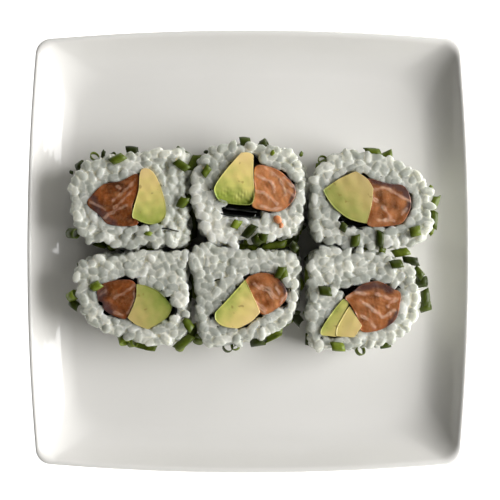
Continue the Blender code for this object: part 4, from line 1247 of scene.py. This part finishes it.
def make_salmon(number, roll, hole, finish):
    outline = strip_outline(roll["salmon"], hole)
    # Partly the fish's own pale colour, partly painted light: the slices on the dimmer left side are
    # painted darker
    paleness_and_painted_light = roll["paleness_and_painted_light"]

    def relief(flat):
        return (0.14 * ripples(flat, 7, number) + 0.04 * ripples(flat, 1.8, number + 30) - 0.2
                + 0.06 * seam_strength(flat, roll["fat"], SEAM_WIDTH + 0.1))

    def values(points):
        edge = np.clip(1 - depth_in(points[:, :2], outline) / 1.4, 0, 1)
        # Painted shade: darker near the outline and lower down its rounded edge and wall
        dusk = edge * 0.3 + (TOP - 0.9 - points[:, 2]) * 0.2
        # Then the given dark lines: the fish's own dark flesh, and painted shade along some edges
        for line, width in roll["dusky_and_shaded_lines"]:
            dusk = dusk + seam_strength(points, (line,), width)
        return {"fat": seam_strength(points, roll["fat"], SEAM_WIDTH) * min(0.8 + paleness_and_painted_light, 1.3),
                "pale": paleness_and_painted_light + 0.22 * ripples(points[:, :2], 5, number + 80),
                "dusk": np.clip(dusk, 0, 0.9)}

    salmon = filling_mesh(f"roll_{number}_salmon_strip", outline, roll["centre"],
                          TOP + roll["tops"][0], 0.5, relief, finish, values)
    stand_for(salmon, f"roll_{number}_salmon")


def make_avocado(number, roll, piece, hole, finish):
    outline = strip_outline(roll["avocado"][piece], hole)
    way = np.array(roll["green"][piece]) / np.linalg.norm(roll["green"][piece])
    low, high = (outline @ way).min(), (outline @ way).max()
    ripest, greenest = roll["greens"][piece]

    def relief(flat):
        slope = (flat @ way - low) / (high - low)
        steep = falling(roll.get("facet", LEVEL), flat)
        torn = 0.12 * ripples(flat, 1.5, number + 70) * np.minimum(steep, 1)
        return 0.06 * ripples(flat, 5, number + 60) - 0.1 - 0.35 * slope**2 - steep + torn

    def values(points):
        share = np.clip((points[:, :2] @ way - low) / (high - low), 0, 1)
        return {"green": ripest + (greenest - ripest) * share,
                # Painted shade for the whole slice
                "shade": np.full(len(points), roll["painted_slice_shading"][piece])}

    suffix = "" if piece == 0 else f"_{piece + 1}"
    avocado = filling_mesh(f"roll_{number}_avocado_slice{suffix}", outline, roll["centre"],
                           TOP + roll["tops"][piece + 1], 0.3, relief, finish, values)
    stand_for(avocado, f"roll_{number}_avocado{suffix}")


def make_flake(tree, grains, finish):
    """A shred of salmon that the knife left on the second roll's rice."""
    bits = [((9.6, -9.3, TOP + 0.25), (0.2, 0.1, math.radians(-50)), (1.0, 1.0, 0.45), 3, 0.0),
            ((11, -11.4, TOP + 0.1), (0.0, 0.0, math.radians(-80)), (0.6, 0.7, 0.35), 5, 0.0)]
    flake = lay(tree, "roll_2_salmon_flake", bits, None, 3.8, 2.8, 0.0, 1, grains, finish)
    points = points_of(flake)
    points[:, :2] += ROLLS[1]["centre"]
    set_points(flake, points)
    set_values(flake.data, "pale", np.ones(len(points)))
    stand_for(flake, "roll_2_salmon")


# Studio

def light_room():
    """A dim room that is lit from its far and near sides, and more from the right than from the left."""
    world = bpy.data.worlds.new("dim room")
    bpy.context.scene.world = world
    world.use_nodes = True
    tree = world.node_tree
    place = add(tree, "ShaderNodeTexCoord").outputs["Generated"]
    ways = add(tree, "ShaderNodeSeparateXYZ", {0: place}).outputs
    sideways = add(tree, "ShaderNodeMath", {0: ways[1]}, operation="ABSOLUTE")
    lobes = add(tree, "ShaderNodeMath", {0: sideways, 1: SIDE_SHARPNESS}, operation="POWER")
    sides = add(tree, "ShaderNodeMath", {0: lobes, 1: SIDE_LIGHT, 2: ROOM_LIGHT}, operation="MULTIPLY_ADD")
    lean = add(tree, "ShaderNodeMath", {0: ways[0], 1: LEAN_TO_RIGHT, 2: 1.0}, operation="MULTIPLY_ADD")
    right = add(tree, "ShaderNodeMath", {0: lean, 1: 2.0}, operation="POWER")
    lit = add(tree, "ShaderNodeMath", {0: sides, 1: right}, operation="MULTIPLY")
    seen = add(tree, "ShaderNodeLightPath").outputs["Is Camera Ray"]
    strength = add(tree, "ShaderNodeMath", {0: lit, 1: seen}, operation="MAXIMUM")
    feed(tree, tree.nodes["Background"], {"Color": "#f2f1ee", "Strength": strength})


def make_studio():
    bpy.context.scene.view_settings.view_transform = "Standard"
    light_room()
    bpy.ops.mesh.primitive_plane_add(size=8)
    floor = bpy.context.object
    floor.name = "pale_floor"
    floor.data.materials.append(table_finish())
    window = bpy.data.lights.new("tall window to the right", "AREA")
    window.shape = "RECTANGLE"
    window.size, window.size_y = WINDOW_SIZE
    window.energy = WINDOW_POWER
    lamp = bpy.data.objects.new("window", window)
    elevation = math.radians(WINDOW_ELEVATION)
    lamp.location = (WINDOW_DISTANCE * math.cos(elevation), 0, WINDOW_DISTANCE * math.sin(elevation))
    lamp.rotation_euler = (0, math.pi / 2 - elevation, 0)
    camera = bpy.data.cameras.new("camera above the plate")
    camera.lens = CAMERA_LENS
    camera.sensor_width = 36
    camera.clip_start = 0.01
    eye = bpy.data.objects.new("camera", camera)
    eye.location = CAMERA_PLACE
    for item in (lamp, eye):
        bpy.context.scene.collection.objects.link(item)
    bpy.context.scene.camera = eye


def main():
    rng = np.random.default_rng(7)
    rice, nori, salmon = rice_finish(), nori_finish(), salmon_finish()
    avocado, chive = avocado_finish(), chive_finish()
    make_plate(porcelain_finish())
    tree = laying_tree()
    grains = shape_set("grain", grain_shapes(rng))
    leaves = shape_set("chive", [chive_shape(*kind[1:]) for kind in CHIVE_KINDS.values()])
    for number, roll in enumerate(ROLLS, start=1):
        make_rice(number, roll, tree, grains, rice, rng)
        make_chives(number, roll, tree, leaves, chive, rng)
        make_nori(number, roll, nori)
        hole, _ = closed_part(smooth_curve(roll["nori"], OUTLINE_STEP, False))
        make_salmon(number, roll, hole, salmon)
        for piece in range(len(roll["avocado"])):
            make_avocado(number, roll, piece, hole, avocado)
    make_flake(tree, grains, salmon)
    put_away(grains)
    put_away(leaves)
    make_studio()


main()
